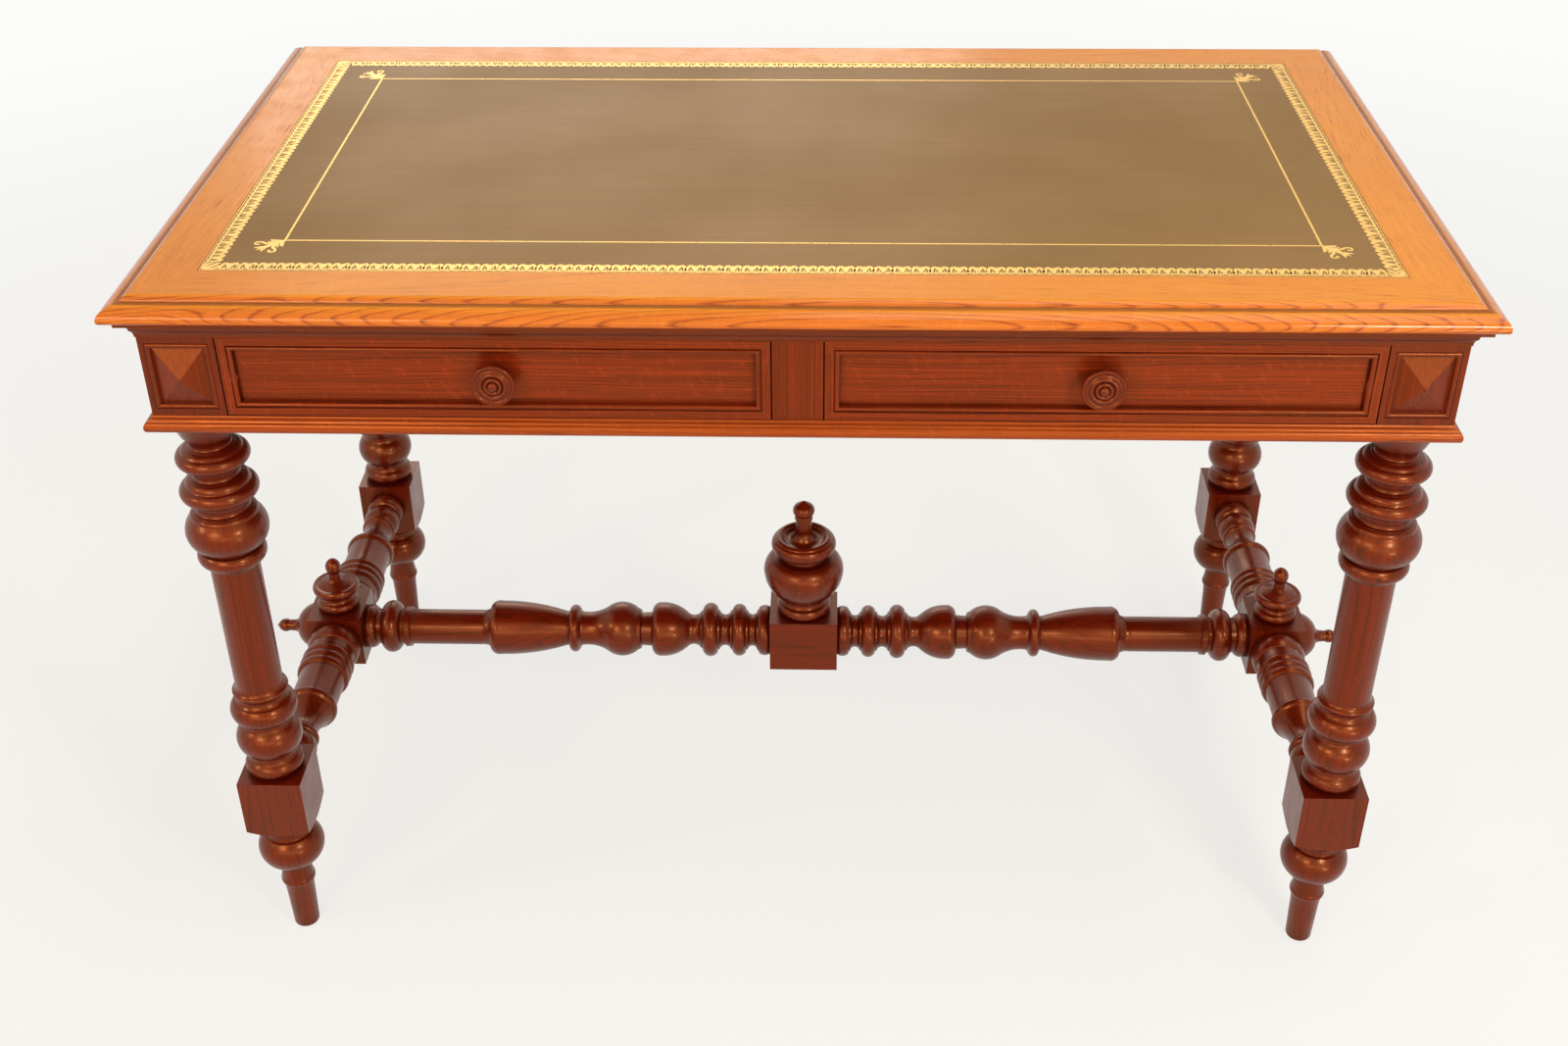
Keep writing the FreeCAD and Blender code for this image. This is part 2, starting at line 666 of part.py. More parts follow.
def stretcher(name, block_wide, block_long, points, shoulder):
    """A stretcher along the body's own axis: a square block between two like turned arms,
    each with a round tenon beyond its shoulder."""
    body = doc.addObject("PartDesign::Body", name)
    squared(body, name + "_block", block_wide, block_long, -(block_long * HALF))
    tenon_half = S.tenon_wide * HALF
    start = [[ZERO, ZERO], [points[0][0], ZERO]]
    tenon = [
        [tenon_half, shoulder],
        [tenon_half, shoulder + S.tenon_long],
        [ZERO, shoulder + S.tenon_long],
    ]
    arm = turning(body, name + "_arm", start + points + tenon)
    both = body.newObject("PartDesign::Mirrored", name + "_arms")
    both.Originals = [arm]
    plane = next(item for item in body.Origin.OriginFeatures if item.Role == "XY_Plane")
    both.MirrorPlane = (plane, [""])
    body.Tip = both
    return body


def spigot_bore(name, start, turn):
    """A bore for a spigot, from just outside the face that it enters."""
    return rod(name, start, S.spigot_wide + S.bore_clear * 2,
               S.overrun + S.spigot_long + S.bore_clear, turn)


def side_stretcher():
    """The left stretcher, bored for its finial, its end cap and the long stretcher."""
    block_half = S.side_block_square * HALF
    block_end = S.side_block_long * HALF
    shoulder = half_y - S.block_square * HALF
    points = shaped(SIDE_SHARES, shoulder - block_end, block_half, block_end)
    body = stretcher("side_stretcher", S.side_block_square, S.side_block_long, points, shoulder)
    place(body, (-half_x, ZERO, stretcher_high), TO_FRONT)
    out = block_half + S.overrun
    down = FreeCAD.Rotation(X_AXIS, 180)
    bores = [
        spigot_bore("finial_bore", (-half_x, ZERO, stretcher_high + out), down),
        spigot_bore("cap_bore", (-half_x - out, ZERO, stretcher_high), TO_RIGHT),
        rod("long_mortise", (-half_x + out, ZERO, stretcher_high), S.tenon_wide + S.bore_clear * 2,
            S.overrun + S.tenon_long + S.bore_clear, TO_LEFT),
    ]
    return cut("side_stretcher_cut", body, bores)


def long_stretcher():
    """The stretcher along the table, bored for the urn on its middle block."""
    block_half = S.long_block_square * HALF
    block_end = S.long_block_wide * HALF
    shoulder = half_x - S.side_block_square * HALF
    vases_start = block_end + S.long_rings_run
    end_start = shoulder - S.long_end_run
    points = shaped(LONG_RING_SHARES, S.long_rings_run, block_half, block_end)
    points += shaped(LONG_VASE_SHARES, S.long_vases_run, block_half, vases_start)
    points += shaped(LONG_END_SHARES, S.long_end_run, block_half, end_start)
    body = stretcher("long_stretcher_body", S.long_block_square, S.long_block_wide, points, shoulder)
    place(body, (ZERO, ZERO, stretcher_high), TO_RIGHT)
    top = stretcher_high + block_half + S.overrun
    bore = spigot_bore("urn_bore", (ZERO, ZERO, top), FreeCAD.Rotation(X_AXIS, 180))
    return cut("long_stretcher_cut", body, [bore])


left_stretcher = keep(side_stretcher(), "side_stretcher_left")
mirrored(left_stretcher, "side_stretcher_right", X_AXIS)
keep(long_stretcher(), "long_stretcher")

# The finials and end caps. Shares run up from the block, and out to half the greatest width.
URN_SHARES = [
    (0.0, 0.628), (0.042, 0.695, 0.083, 0.635), (0.115, 0.537, 0.149, 0.582),
    (0.229, 0.863, 0.34, 1.0), (0.438, 0.972, 0.49, 0.845), (0.504, 0.753), (0.51, 0.594),
    (0.552, 0.571), (0.558, 0.696), (0.611, 0.817, 0.667, 0.719), (0.685, 0.63, 0.669, 0.537),
    (0.649, 0.411, 0.663, 0.297), (0.698, 0.226, 0.75, 0.205), (0.837, 0.201), (0.842, 0.228),
    (0.878, 0.224), (0.884, 0.242), (0.927, 0.269, 0.965, 0.174), (1.0, 0.0),
]
FINIAL_SHARES = [
    (0.0, 0.808), (0.079, 0.896, 0.167, 0.788), (0.238, 0.673, 0.317, 0.827),
    (0.413, 1.0, 0.492, 0.904), (0.484, 0.75), (0.508, 0.673), (0.548, 0.327), (0.587, 0.238),
    (0.698, 0.223), (0.738, 0.269), (0.857, 0.323, 0.985, 0.1), (1.0, 0.0),
]
CAP_SHARES = [
    (0.0, 1.0), (0.22, 0.833, 0.385, 0.537), (0.451, 0.315, 0.549, 0.244), (0.681, 0.23),
    (0.824, 0.267, 0.923, 0.167), (1.0, 0.0),
]
# The knob: a footing, a waist, a flared rim, and a dished face with a ring and a nub.
KNOB_SHARES = [
    (0.0, 0.52), (0.07, 0.565, 0.14, 0.52), (0.165, 0.42), (0.33, 0.35, 0.48, 0.5),
    (0.565, 0.71, 0.64, 0.91), (0.66, 0.965), (0.76, 1.0, 0.83, 0.945), (0.82, 0.85),
    (0.785, 0.75, 0.83, 0.665), (0.885, 0.56, 0.85, 0.47), (0.81, 0.43),
    (0.905, 0.35, 0.885, 0.26), (0.86, 0.235), (0.96, 0.16, 0.99, 0.06), (1.0, 0.0),
]


def spigoted(name, shares, long, wide, spigot_wide, spigot_long):
    """A turned piece that stands on a spigot. Its origin is the spigot's end."""
    body = doc.addObject("PartDesign::Body", name)
    spigot_half = spigot_wide * HALF
    points = [[ZERO, ZERO], [spigot_half, ZERO], [spigot_half, spigot_long]]
    points += shaped(shares, long, wide * HALF, spigot_long)
    turning(body, name + "_turning", points)
    return body


def finial(name, shares, tall, wide, x, block_square):
    """A finial on top of a stretcher's block."""
    body = spigoted(name, shares, tall, wide, S.spigot_wide, S.spigot_long)
    place(body, (x, ZERO, stretcher_high + block_square * HALF - S.spigot_long))
    return body


keep(finial("urn", URN_SHARES, S.urn_tall, S.urn_wide, ZERO, S.long_block_square), "centre_finial")
left_finial = finial("finial", FINIAL_SHARES, S.finial_tall, S.finial_wide, -half_x, S.side_block_square)
keep(left_finial, "left_finial")
mirrored(left_finial, "right_finial", X_AXIS)
left_cap = spigoted("end_cap", CAP_SHARES, S.cap_long, S.cap_wide, S.spigot_wide, S.spigot_long)
place(left_cap, (-half_x - S.side_block_square * HALF + S.spigot_long, ZERO, stretcher_high), TO_LEFT)
keep(left_cap, "left_end_cap")
mirrored(left_cap, "right_end_cap", X_AXIS)


# The drawers. The left one is made here, and the right one mirrors it.
front_left_x = -inner_x + S.drawer_gap
front_wide = opening_wide - S.drawer_gap * 2
front_low = field_low + S.drawer_lift
front_tall = field_tall - S.drawer_lift * 2
field_plane = -face_y + S.field_sink
lining_start = field_plane + S.front_thick
drawer_end = -face_y + S.drawer_long
lining_low = field_low + S.slide_clear
bottom_low = lining_low + S.bottom_raise
inside_wide = front_wide - S.lining_thick * 2
inside_x = front_left_x + S.lining_thick


def drawer_front():
    """The board behind the drawer's sunk field, bored for the knob."""
    board = box("front_board", (front_left_x, field_plane, front_low),
                (front_wide, S.front_thick, front_tall))
    bore = rod("shank_bore", (-opening_mid, lining_start + S.overrun, field_mid),
               S.shank_wide + S.bore_clear * 2, S.front_thick + S.overrun * 2, TO_FRONT)
    return cut("front_cut", board, [bore])


def drawer_moulding():
    """The mitred moulding planted round the drawer front."""
    piece = frame("front_moulding", field_profile, front_wide, front_tall, S.field_border, field_rise)
    place(piece, (-opening_mid, field_plane, field_mid), TO_FRONT)
    return piece


def drawer_knob():
    """The turned knob, with a shank as long as the front is thick."""
    body = spigoted("knob", KNOB_SHARES, S.knob_long, S.knob_wide, S.shank_wide, S.front_thick)
    place(body, (-opening_mid, lining_start, field_mid), TO_FRONT)
    return body


def drawer_side(name, x):
    """A side of the drawer box, from the back of the front to the drawer's end."""
    return box(name, (x, lining_start, lining_low),
               (S.lining_thick, drawer_end - lining_start, S.lining_tall))


def drawer_bottom():
    """The bottom board, between the sides."""
    return box("bottom_board", (inside_x, lining_start, bottom_low),
               (inside_wide, drawer_end - lining_start, S.bottom_thick))


def drawer_back():
    """The back board, which stands on the bottom board."""
    low = bottom_low + S.bottom_thick
    high = lining_low + S.lining_tall - S.back_drop
    return box("back_board", (inside_x, drawer_end - S.lining_thick, low),
               (inside_wide, S.lining_thick, high - low))


drawer_pieces = {
    "front": drawer_front(),
    "front_moulding": drawer_moulding(),
    "knob": drawer_knob(),
    "outer_side": drawer_side("outer_lining", front_left_x),
    "inner_side": drawer_side("inner_lining", inside_x + inside_wide),
    "bottom": drawer_bottom(),
    "back": drawer_back(),
}
for part_name, piece in drawer_pieces.items():
    keep(piece, f"left_drawer_{part_name}")
    mirrored(piece, f"right_drawer_{part_name}", X_AXIS)


def three_across(name, side_wide, centre_wide, start_y, low, tall, side_x=inner_x):
    """A piece beside each outer post and one down the middle, from front to rear."""
    long = rail_inner_y - start_y
    members = [
        box(name + "_left", (-side_x, start_y, low), (side_wide, long, tall)),
        box(name + "_centre", (-(centre_wide * HALF), start_y, low), (centre_wide, long, tall)),
        box(name + "_right", (side_x - side_wide, start_y, low), (side_wide, long, tall)),
    ]
    return group(name, members)


# Runners level with the bottom rail carry the drawers, and kickers keep them from tipping.
carrier_wide = S.stile_wide + S.runner_wide * 2
keep(three_across("runners", S.runner_wide, carrier_wide, -inner_y, frieze_under, S.base_tall),
     "drawer_runners")
keep(three_across("kickers", S.runner_wide, carrier_wide, -inner_y, field_high, S.bed_tall),
     "drawer_kickers")


def guides():
    """Side guides between the posts, glued to the runners, and one guide behind the stile."""
    rise = S.base_tall + S.guide_rise
    members = []
    for side, x in (("left", -inner_x - S.guide_thick), ("right", inner_x)):
        members.append(box(f"guide_{side}", (x, -inner_y, frieze_under), (S.guide_thick, inner_y * 2, rise)))
    start = -face_y + S.stile_deep
    members.append(box("guide_centre", (-stile_half, start, field_low),
                       (S.stile_wide, rail_inner_y - start, S.guide_rise)))
    return group("guides", members)


keep(guides(), "drawer_guides")

# Stops on the bottom rail meet the backs of the drawer fronts.
STOP_SHARES = (0.2, 0.8)


def stops():
    """Two stops for each drawer, at shares of its opening."""
    members = []
    for side in (-1, 1):
        for number, share in enumerate(STOP_SHARES):
            mid = (stile_half + opening_wide * share) * side
            members.append(box(f"stop_{number}_{'left' if side < 0 else 'right'}",
                               (mid - S.stop_long * HALF, lining_start + S.slide_clear, field_low),
                               (S.stop_long, S.stop_deep, S.stop_tall)))
    return group("stops", members)


keep(stops(), "drawer_stops")

doc.recompute()
for item in doc.Objects:
    if "Invalid" in item.State or "Error" in item.State:
        raise RuntimeError(f"{item.Label} failed: {item.State}")
for item in nodes:
    if item.Shape.isNull() or not item.Shape.isValid() or not item.Shape.Solids:
        raise RuntimeError(f"{item.Label} has no sound solid")

os.makedirs("parts", exist_ok=True)
for item in nodes:
    item.Shape.exportStep(f"parts/{item.Label}.step")
print(len(nodes), "pieces written")
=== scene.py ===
"""Library table of polished oak: a top with a tooled leather let in, two drawers, and turned legs and stretchers."""

import math

import bpy
import numpy as np
from mathutils import Matrix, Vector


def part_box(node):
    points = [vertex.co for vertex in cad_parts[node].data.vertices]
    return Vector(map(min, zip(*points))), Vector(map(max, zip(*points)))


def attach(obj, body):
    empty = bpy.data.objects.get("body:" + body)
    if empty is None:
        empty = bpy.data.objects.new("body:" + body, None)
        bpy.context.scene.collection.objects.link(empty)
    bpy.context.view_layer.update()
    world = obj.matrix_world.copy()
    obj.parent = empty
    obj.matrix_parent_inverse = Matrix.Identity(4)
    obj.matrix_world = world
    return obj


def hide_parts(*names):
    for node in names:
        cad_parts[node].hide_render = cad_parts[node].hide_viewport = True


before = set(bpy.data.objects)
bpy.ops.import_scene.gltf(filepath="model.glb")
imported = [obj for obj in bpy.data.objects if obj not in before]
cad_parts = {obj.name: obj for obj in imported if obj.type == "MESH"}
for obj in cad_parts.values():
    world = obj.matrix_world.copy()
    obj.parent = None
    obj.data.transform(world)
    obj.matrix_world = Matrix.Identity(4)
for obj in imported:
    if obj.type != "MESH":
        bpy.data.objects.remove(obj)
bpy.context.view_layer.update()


# Camera: in front of the table, a little right of its middle, looking down on it at 33 degrees. The place, turn
# and lens were fitted to the straight edges of the top, the frieze and the legs.
EYE = (0.02868, -1.70098, 1.4449)
PITCH, YAW, ROLL = math.radians(33.2), math.radians(-1.7), math.radians(-0.4)
SENSOR_WIDE, LENS = 36.0, 42.39


def stood(axes, at):
    """The matrix that puts an object at a place, its x, y and z turned to three given unit vectors."""
    matrix = np.eye(4)
    matrix[:3, :3] = np.transpose(axes)
    matrix[:3, 3] = at
    return Matrix(matrix.tolist())


ahead = np.array([math.sin(YAW) * math.cos(PITCH), math.cos(YAW) * math.cos(PITCH), -math.sin(PITCH)])
level = np.array([math.cos(YAW), -math.sin(YAW), 0.0])
upright = np.cross(level, ahead)
rightward = math.cos(ROLL) * level + math.sin(ROLL) * upright
upward = math.cos(ROLL) * upright - math.sin(ROLL) * level
camera_data = bpy.data.cameras.new("camera")
camera_data.lens = LENS
camera_data.sensor_width = SENSOR_WIDE
camera = bpy.data.objects.new("camera", camera_data)
camera.matrix_world = stood((rightward, upward, -ahead), EYE)
bpy.context.scene.collection.objects.link(camera)
bpy.context.scene.camera = camera
bpy.context.scene.view_settings.view_transform = "Standard"


# Floor and light: a plain pale floor, even light from all round, two warm windows on the left, a nearly white one
# and a low one on the right, a bright ceiling, and pale walls before and behind the table.
def linear(colour):
    """An sRGB hex colour as linear red, green, blue and 1: each channel by the sRGB curve."""
    parts = np.array([int(colour[i : i + 2], 16) for i in (1, 3, 5)]) / 255
    parts = np.where(parts <= 0.04045, parts / 12.92, ((parts + 0.055) / 1.055) ** 2.4)
    return (*parts.tolist(), 1.0)


def node(tree, kind, inputs=None, **settings):
    """Adds a node. A setting is one of its own; an input is given a value, or the socket that feeds it."""
    made = tree.nodes.new(kind)
    for name, value in settings.items():
        setattr(made, name, value)
    for name, value in (inputs or {}).items():
        if isinstance(value, bpy.types.NodeSocket):
            tree.links.new(value, made.inputs[name])
        else:
            made.inputs[name].default_value = value
    return made


def new_material(name):
    """A material with an empty tree but for its output."""
    material = bpy.data.materials.new(name)
    material.use_nodes = True
    material.node_tree.nodes.clear()
    return material, material.node_tree, material.node_tree.nodes.new("ShaderNodeOutputMaterial")


def seen_directly(tree):
    """A socket that is 1 for what the camera, a reflection or clear glass shows, and 0 for what lights things."""
    path = node(tree, "ShaderNodeLightPath").outputs
    seen = node(tree, "ShaderNodeMath", {0: path["Is Camera Ray"], 1: path["Is Glossy Ray"]}, operation="ADD")
    return node(tree, "ShaderNodeMath", {0: seen.outputs[0], 1: path["Is Transmission Ray"]},
                operation="ADD", use_clamp=True).outputs[0]


FLOOR_REACH = 14.0
FLOOR_COLOUR, ROOM_COLOUR, WHITE = "#F5F5F1", "#FDFDFB", "#FFFFFF"
FLOOR_ROUGH = 0.9
EVEN_LIGHT, SHOWN_LIGHT = 0.11, 1.0
# How much of the room's white the floor shows: this much within the first distance from the middle of the table,
# where the shadow lies, and all of it past the second.
SHOWN_WHITE, SHADOW_NEAR, SHADOW_FAR = 0.76, 0.9, 3.5
floor_mesh = bpy.data.meshes.new("floor")
floor_corners = FLOOR_REACH * np.array([[-1, -1, 0], [1, -1, 0], [1, 1, 0], [-1, 1, 0]])
floor_mesh.from_pydata(floor_corners.tolist(), [], [(0, 1, 2, 3)])
floor = bpy.data.objects.new("floor", floor_mesh)
bpy.context.scene.collection.objects.link(floor)
# Flat floor paint: matt and pale, so that it takes a soft shadow and no mirror image.
floor_paint, tree, output = new_material("pale_floor_paint")
paint = node(tree, "ShaderNodeBsdfPrincipled", {"Base Color": linear(FLOOR_COLOUR), "Roughness": FLOOR_ROUGH})
place = node(tree, "ShaderNodeTexCoord").outputs["Object"]
from_middle = node(tree, "ShaderNodeVectorMath", {0: place}, operation="LENGTH").outputs["Value"]
share = node(tree, "ShaderNodeMapRange",
             {"Value": from_middle, "From Min": SHADOW_NEAR, "From Max": SHADOW_FAR, "To Min": SHOWN_WHITE,
              "To Max": 1.0}, interpolation_type="SMOOTHSTEP")
seen = node(tree, "ShaderNodeMath", {0: seen_directly(tree), 1: share.outputs[0]}, operation="MULTIPLY")
glow = node(tree, "ShaderNodeEmission", {"Color": linear(ROOM_COLOUR), "Strength": SHOWN_LIGHT})
mixed = node(tree, "ShaderNodeMixShader", {0: seen.outputs[0], 1: paint.outputs[0], 2: glow.outputs[0]})
tree.links.new(mixed.outputs[0], output.inputs[0])
floor_mesh.materials.append(floor_paint)

world = bpy.data.worlds.new("room")
bpy.context.scene.world = world
world.use_nodes = True
tree = world.node_tree
tree.nodes.clear()
lit = node(tree, "ShaderNodeBackground", {"Color": linear(WHITE), "Strength": EVEN_LIGHT})
shown = node(tree, "ShaderNodeBackground", {"Color": linear(ROOM_COLOUR), "Strength": SHOWN_LIGHT})
both = node(tree, "ShaderNodeMixShader", {0: seen_directly(tree), 1: lit.outputs[0], 2: shown.outputs[0]})
node(tree, "ShaderNodeOutputWorld", {0: both.outputs[0]})

# Each lamp: its place and size in metres, and its power in watts. All of them face one point of the table.
LAMPS = {
    "left_window": {"at": (-1.25, -2.3, 1.7), "size": (1.0, 0.65), "power": 24, "colour": "#FFDDB4"},
    "side_window": {"at": (-2.3, -1.1, 1.6), "size": (0.45, 0.4), "power": 10, "colour": "#FFDCB0"},
    "right_window": {"at": (1.05, -1.75, 1.55), "size": (0.34, 0.38), "power": 17, "colour": "#FFF4EA"},
    "ceiling": {"at": (0.7, 0.0, 3.2), "size": (2.0, 1.6), "power": 44, "colour": "#FFEFD8"},
    "far_wall": {"at": (-0.75, 4.5, 2.34), "size": (2.5, 0.9), "power": 23, "colour": "#FFF4E8"},
    "near_wall": {"at": (-0.3, -4.5, 1.3), "size": (5.2, 0.7), "power": 38, "colour": "#FFE0BE"},
    "low_window": {"at": (1.4, -2.3, 0.34), "size": (0.5, 0.2), "power": 8, "colour": "#FFF0D8"},
}
AIM = np.array([0.0, 0.0, 0.45])
for name, lamp in LAMPS.items():
    light = bpy.data.lights.new(name, "AREA")
    light.shape = "RECTANGLE"
    light.size, light.size_y = lamp["size"]
    light.energy = lamp["power"]
    light.color = linear(lamp["colour"])[:3]
    holder = bpy.data.objects.new(name, light)
    back = np.array(lamp["at"]) - AIM
    back = back / np.linalg.norm(back)
    side = np.cross([0, 0, 1], back)
    side = side / np.linalg.norm(side)
    holder.matrix_world = stood((side, np.cross(back, side), back), lamp["at"])
    holder.visible_camera = False
    bpy.context.scene.collection.objects.link(holder)


# The top's four boards: oak, stained golden and French polished, mitred at the corners, with a moulded edge.
# Rings show as dark lines of open pores: straight on the flat, and in long pointed loops along the edge.

# The turn that brings each grain direction to the third axis, and which of its angles a lean adds to.
GRAIN_TURN = {"x": (0, -math.pi / 2, 0), "y": (math.pi / 2, 0, 0), "z": (0, 0, 0)}
LEAN_ANGLE = {"x": 1, "y": 0, "z": 0}
# In waves per metre, twice across the grain and then along it: the stem bends over 150 mm, and a year's growth
# wanders over 17 mm, by up to this many rings.
STEM_BENDS, YEARS_WANDER, YEARS_UNEVEN = (7, 7, 1.8), (60, 60, 0), 3.0
# How dark a ring is: its first spring wood, full of pores, then shares of its width, and its last.
SPRING_DARK, SUMMER_DARK, AUTUMN_DARK = 1.0, ((0.08, 0.55), (0.2, 0.1), (0.88, 0.0)), 0.8
# Real pores are 0.3 mm wide; they are drawn 1 mm wide and 30 mm long so that they show. The noise is a pore from
# the first value to the second, and pores are crowded in the dark of a ring and fewer in the rest.
PORES, PORE_FROM, PORE_FULL, SPRING_PORES, SUMMER_PORES = (950, 950, 32), 0.55, 0.68, 0.5, 0.2
# Fibres are 3 mm by 200 mm, and darken the wood where their noise is over the floor. A face that looks up more
# than this shows a small share of the rings' contrast.
FIBRES, FIBRE_FLOOR, LOOKS_UP, FLAT_SHARE = (330, 330, 5), 0.24, 0.9, 0.22
# Rays are 38 mm out from the heart, 11 mm across and 5 mm along, and slant along the grain.
RAYS, RAY_FROM, RAY_FULL, RAY_SLANT = (26, 90, 190), 0.58, 0.7, 0.45
# The stain is uneven over 180 mm.
STAIN_PATCHES, STAIN_FROM, STAIN_FULL, STAIN_SHOWN = 5.5, 0.35, 0.68, 0.4
UNEVEN_STAIN, PORE_DARK, GLUE_LINE, GLUE_HALF = "#ECD4BC", "#957C69", "#6F3F27", 0.0003
# Painted shade on faces that look down: its colour, how far down they face where it starts and where it is full, and
# how much shows.
UNDERSIDE_SHADE, UNDER_FROM, UNDER_FULL, UNDER_SHOWN = "#AD866F", -0.05, -0.8, 0.85
EDGE_STAIN, EDGE_FROM, EDGE_COAT = "#E7CBD4", 0.85, 0.45
# The dark line at a groove, painted shade of the quirk and dust in it: its colour, half its height, where it fades
# out, and how much shows.
GROOVE_SHADE_AND_DUST, GROOVE_HALF, GROOVE_FADE, GROOVE_LINE_SHOWN = "#502712", 0.0002, 0.0005, 0.6
# Old wax and painted shade in hollows: their colour, the occlusion where they are full and where they start, and how
# much shows.
WAX_AND_SHADE, WAX_SHADE_FULL, WAX_SHADE_FROM, WAX_SHADE_SHOWN = "#957C6F", 0.3, 0.9, 0.85
# The polish is clouded over 30 mm, from a little smoother to a little rougher, and dull in the pores. Its golden
# tint is what the lights show in it, and the coat over it gives them a whiter core.
POLISH_PATCHES, CLOUD_FROM, CLOUD_FULL, SMOOTHER, ROUGHER, PORE_ROUGH = 34.0, 0.3, 0.7, 0.05, 0.07, 0.2
POLISH_TINT, COAT_ROUGH = "#F49C56", 0.12
FIBRE_HEIGHT, BUMP_STRENGTH, BUMP_DEEP = 0.35, 0.35, 0.0001


def mitred(tree, place, field):
    """Where the grain is read from round a field, and a socket that is 1 on the glue lines of the mitres.

    A point's lead is how far its x lies past the field's side, less how far its z lies past its top or foot.
    Beside the field a lead above zero is a standing piece, so x and z change places, and a lead of zero is glue.
    """
    parts = node(tree, "ShaderNodeSeparateXYZ", {0: place}).outputs
    past = []
    for part, middle, half in ((parts[0], field[0], field[2]), (parts[2], field[1], field[3])):
        off = node(tree, "ShaderNodeMath", {0: part, 1: middle}, operation="SUBTRACT").outputs[0]
        off = node(tree, "ShaderNodeMath", {0: off}, operation="ABSOLUTE").outputs[0]
        past.append(node(tree, "ShaderNodeMath", {0: off, 1: half}, operation="SUBTRACT").outputs[0])
    beside = node(tree, "ShaderNodeMath", {0: past[0], 1: 0.0}, operation="GREATER_THAN").outputs[0]
    lead = node(tree, "ShaderNodeMath", {0: past[0], 1: past[1]}, operation="SUBTRACT").outputs[0]
    glue = node(tree, "ShaderNodeMath", {0: lead}, operation="ABSOLUTE").outputs[0]
    glue = node(tree, "ShaderNodeMath", {0: glue, 1: GLUE_HALF}, operation="LESS_THAN").outputs[0]
    glue = node(tree, "ShaderNodeMath", {0: glue, 1: beside}, operation="MULTIPLY").outputs[0]
    standing = node(tree, "ShaderNodeMath", {0: lead, 1: 0.0}, operation="GREATER_THAN").outputs[0]
    standing = node(tree, "ShaderNodeMath", {0: standing, 1: beside}, operation="MULTIPLY").outputs[0]
    swapped = node(tree, "ShaderNodeCombineXYZ", {0: parts[2], 1: parts[1], 2: parts[0]}).outputs[0]
    turned = node(tree, "ShaderNodeMix", {0: standing, 4: place, 5: swapped}, data_type="VECTOR").outputs[1]
    return turned, glue


def in_the_log(tree, place, grain, heart, lean, wander, bow):
    """A point's place with its third axis along the grain, that place's parts, and its offset from the heart line.

    The place is taken from a point of the heart line and turned to the grain, leaned by an angle. Its offset is
    moved by slow noise, to half of wander either way, and by the bow times the square of the distance along.
    """
    turning = list(GRAIN_TURN[grain])
    turning[LEAN_ANGLE[grain]] += lean
    off = node(tree, "ShaderNodeVectorMath", {0: place, 1: heart}, operation="SUBTRACT").outputs[0]
    along = node(tree, "ShaderNodeMapping", {"Vector": off, "Rotation": turning}).outputs[0]
    slow = node(tree, "ShaderNodeVectorMath", {0: along, 1: STEM_BENDS}, operation="MULTIPLY").outputs[0]
    slow = node(tree, "ShaderNodeTexNoise", {"Vector": slow, "Scale": 1.0, "Detail": 3.0}).outputs["Color"]
    bend = node(tree, "ShaderNodeVectorMath", {0: slow, 1: (0.5, 0.5, 0.5)}, operation="SUBTRACT").outputs[0]
    bend = node(tree, "ShaderNodeVectorMath", {0: bend, 1: (wander, wander, 0), 2: along},
                operation="MULTIPLY_ADD").outputs[0]
    parts = node(tree, "ShaderNodeSeparateXYZ", {0: along}).outputs
    square = node(tree, "ShaderNodeMath", {0: parts[2], 1: 2.0}, operation="POWER").outputs[0]
    bowed = node(tree, "ShaderNodeVectorMath", {0: bow, "Scale": square}, operation="SCALE").outputs[0]
    bend = node(tree, "ShaderNodeVectorMath", {0: bend, 1: bowed}, operation="ADD").outputs[0]
    flat = node(tree, "ShaderNodeVectorMath", {0: bend, 1: (1, 1, 0)}, operation="MULTIPLY").outputs[0]
    return along, parts, flat


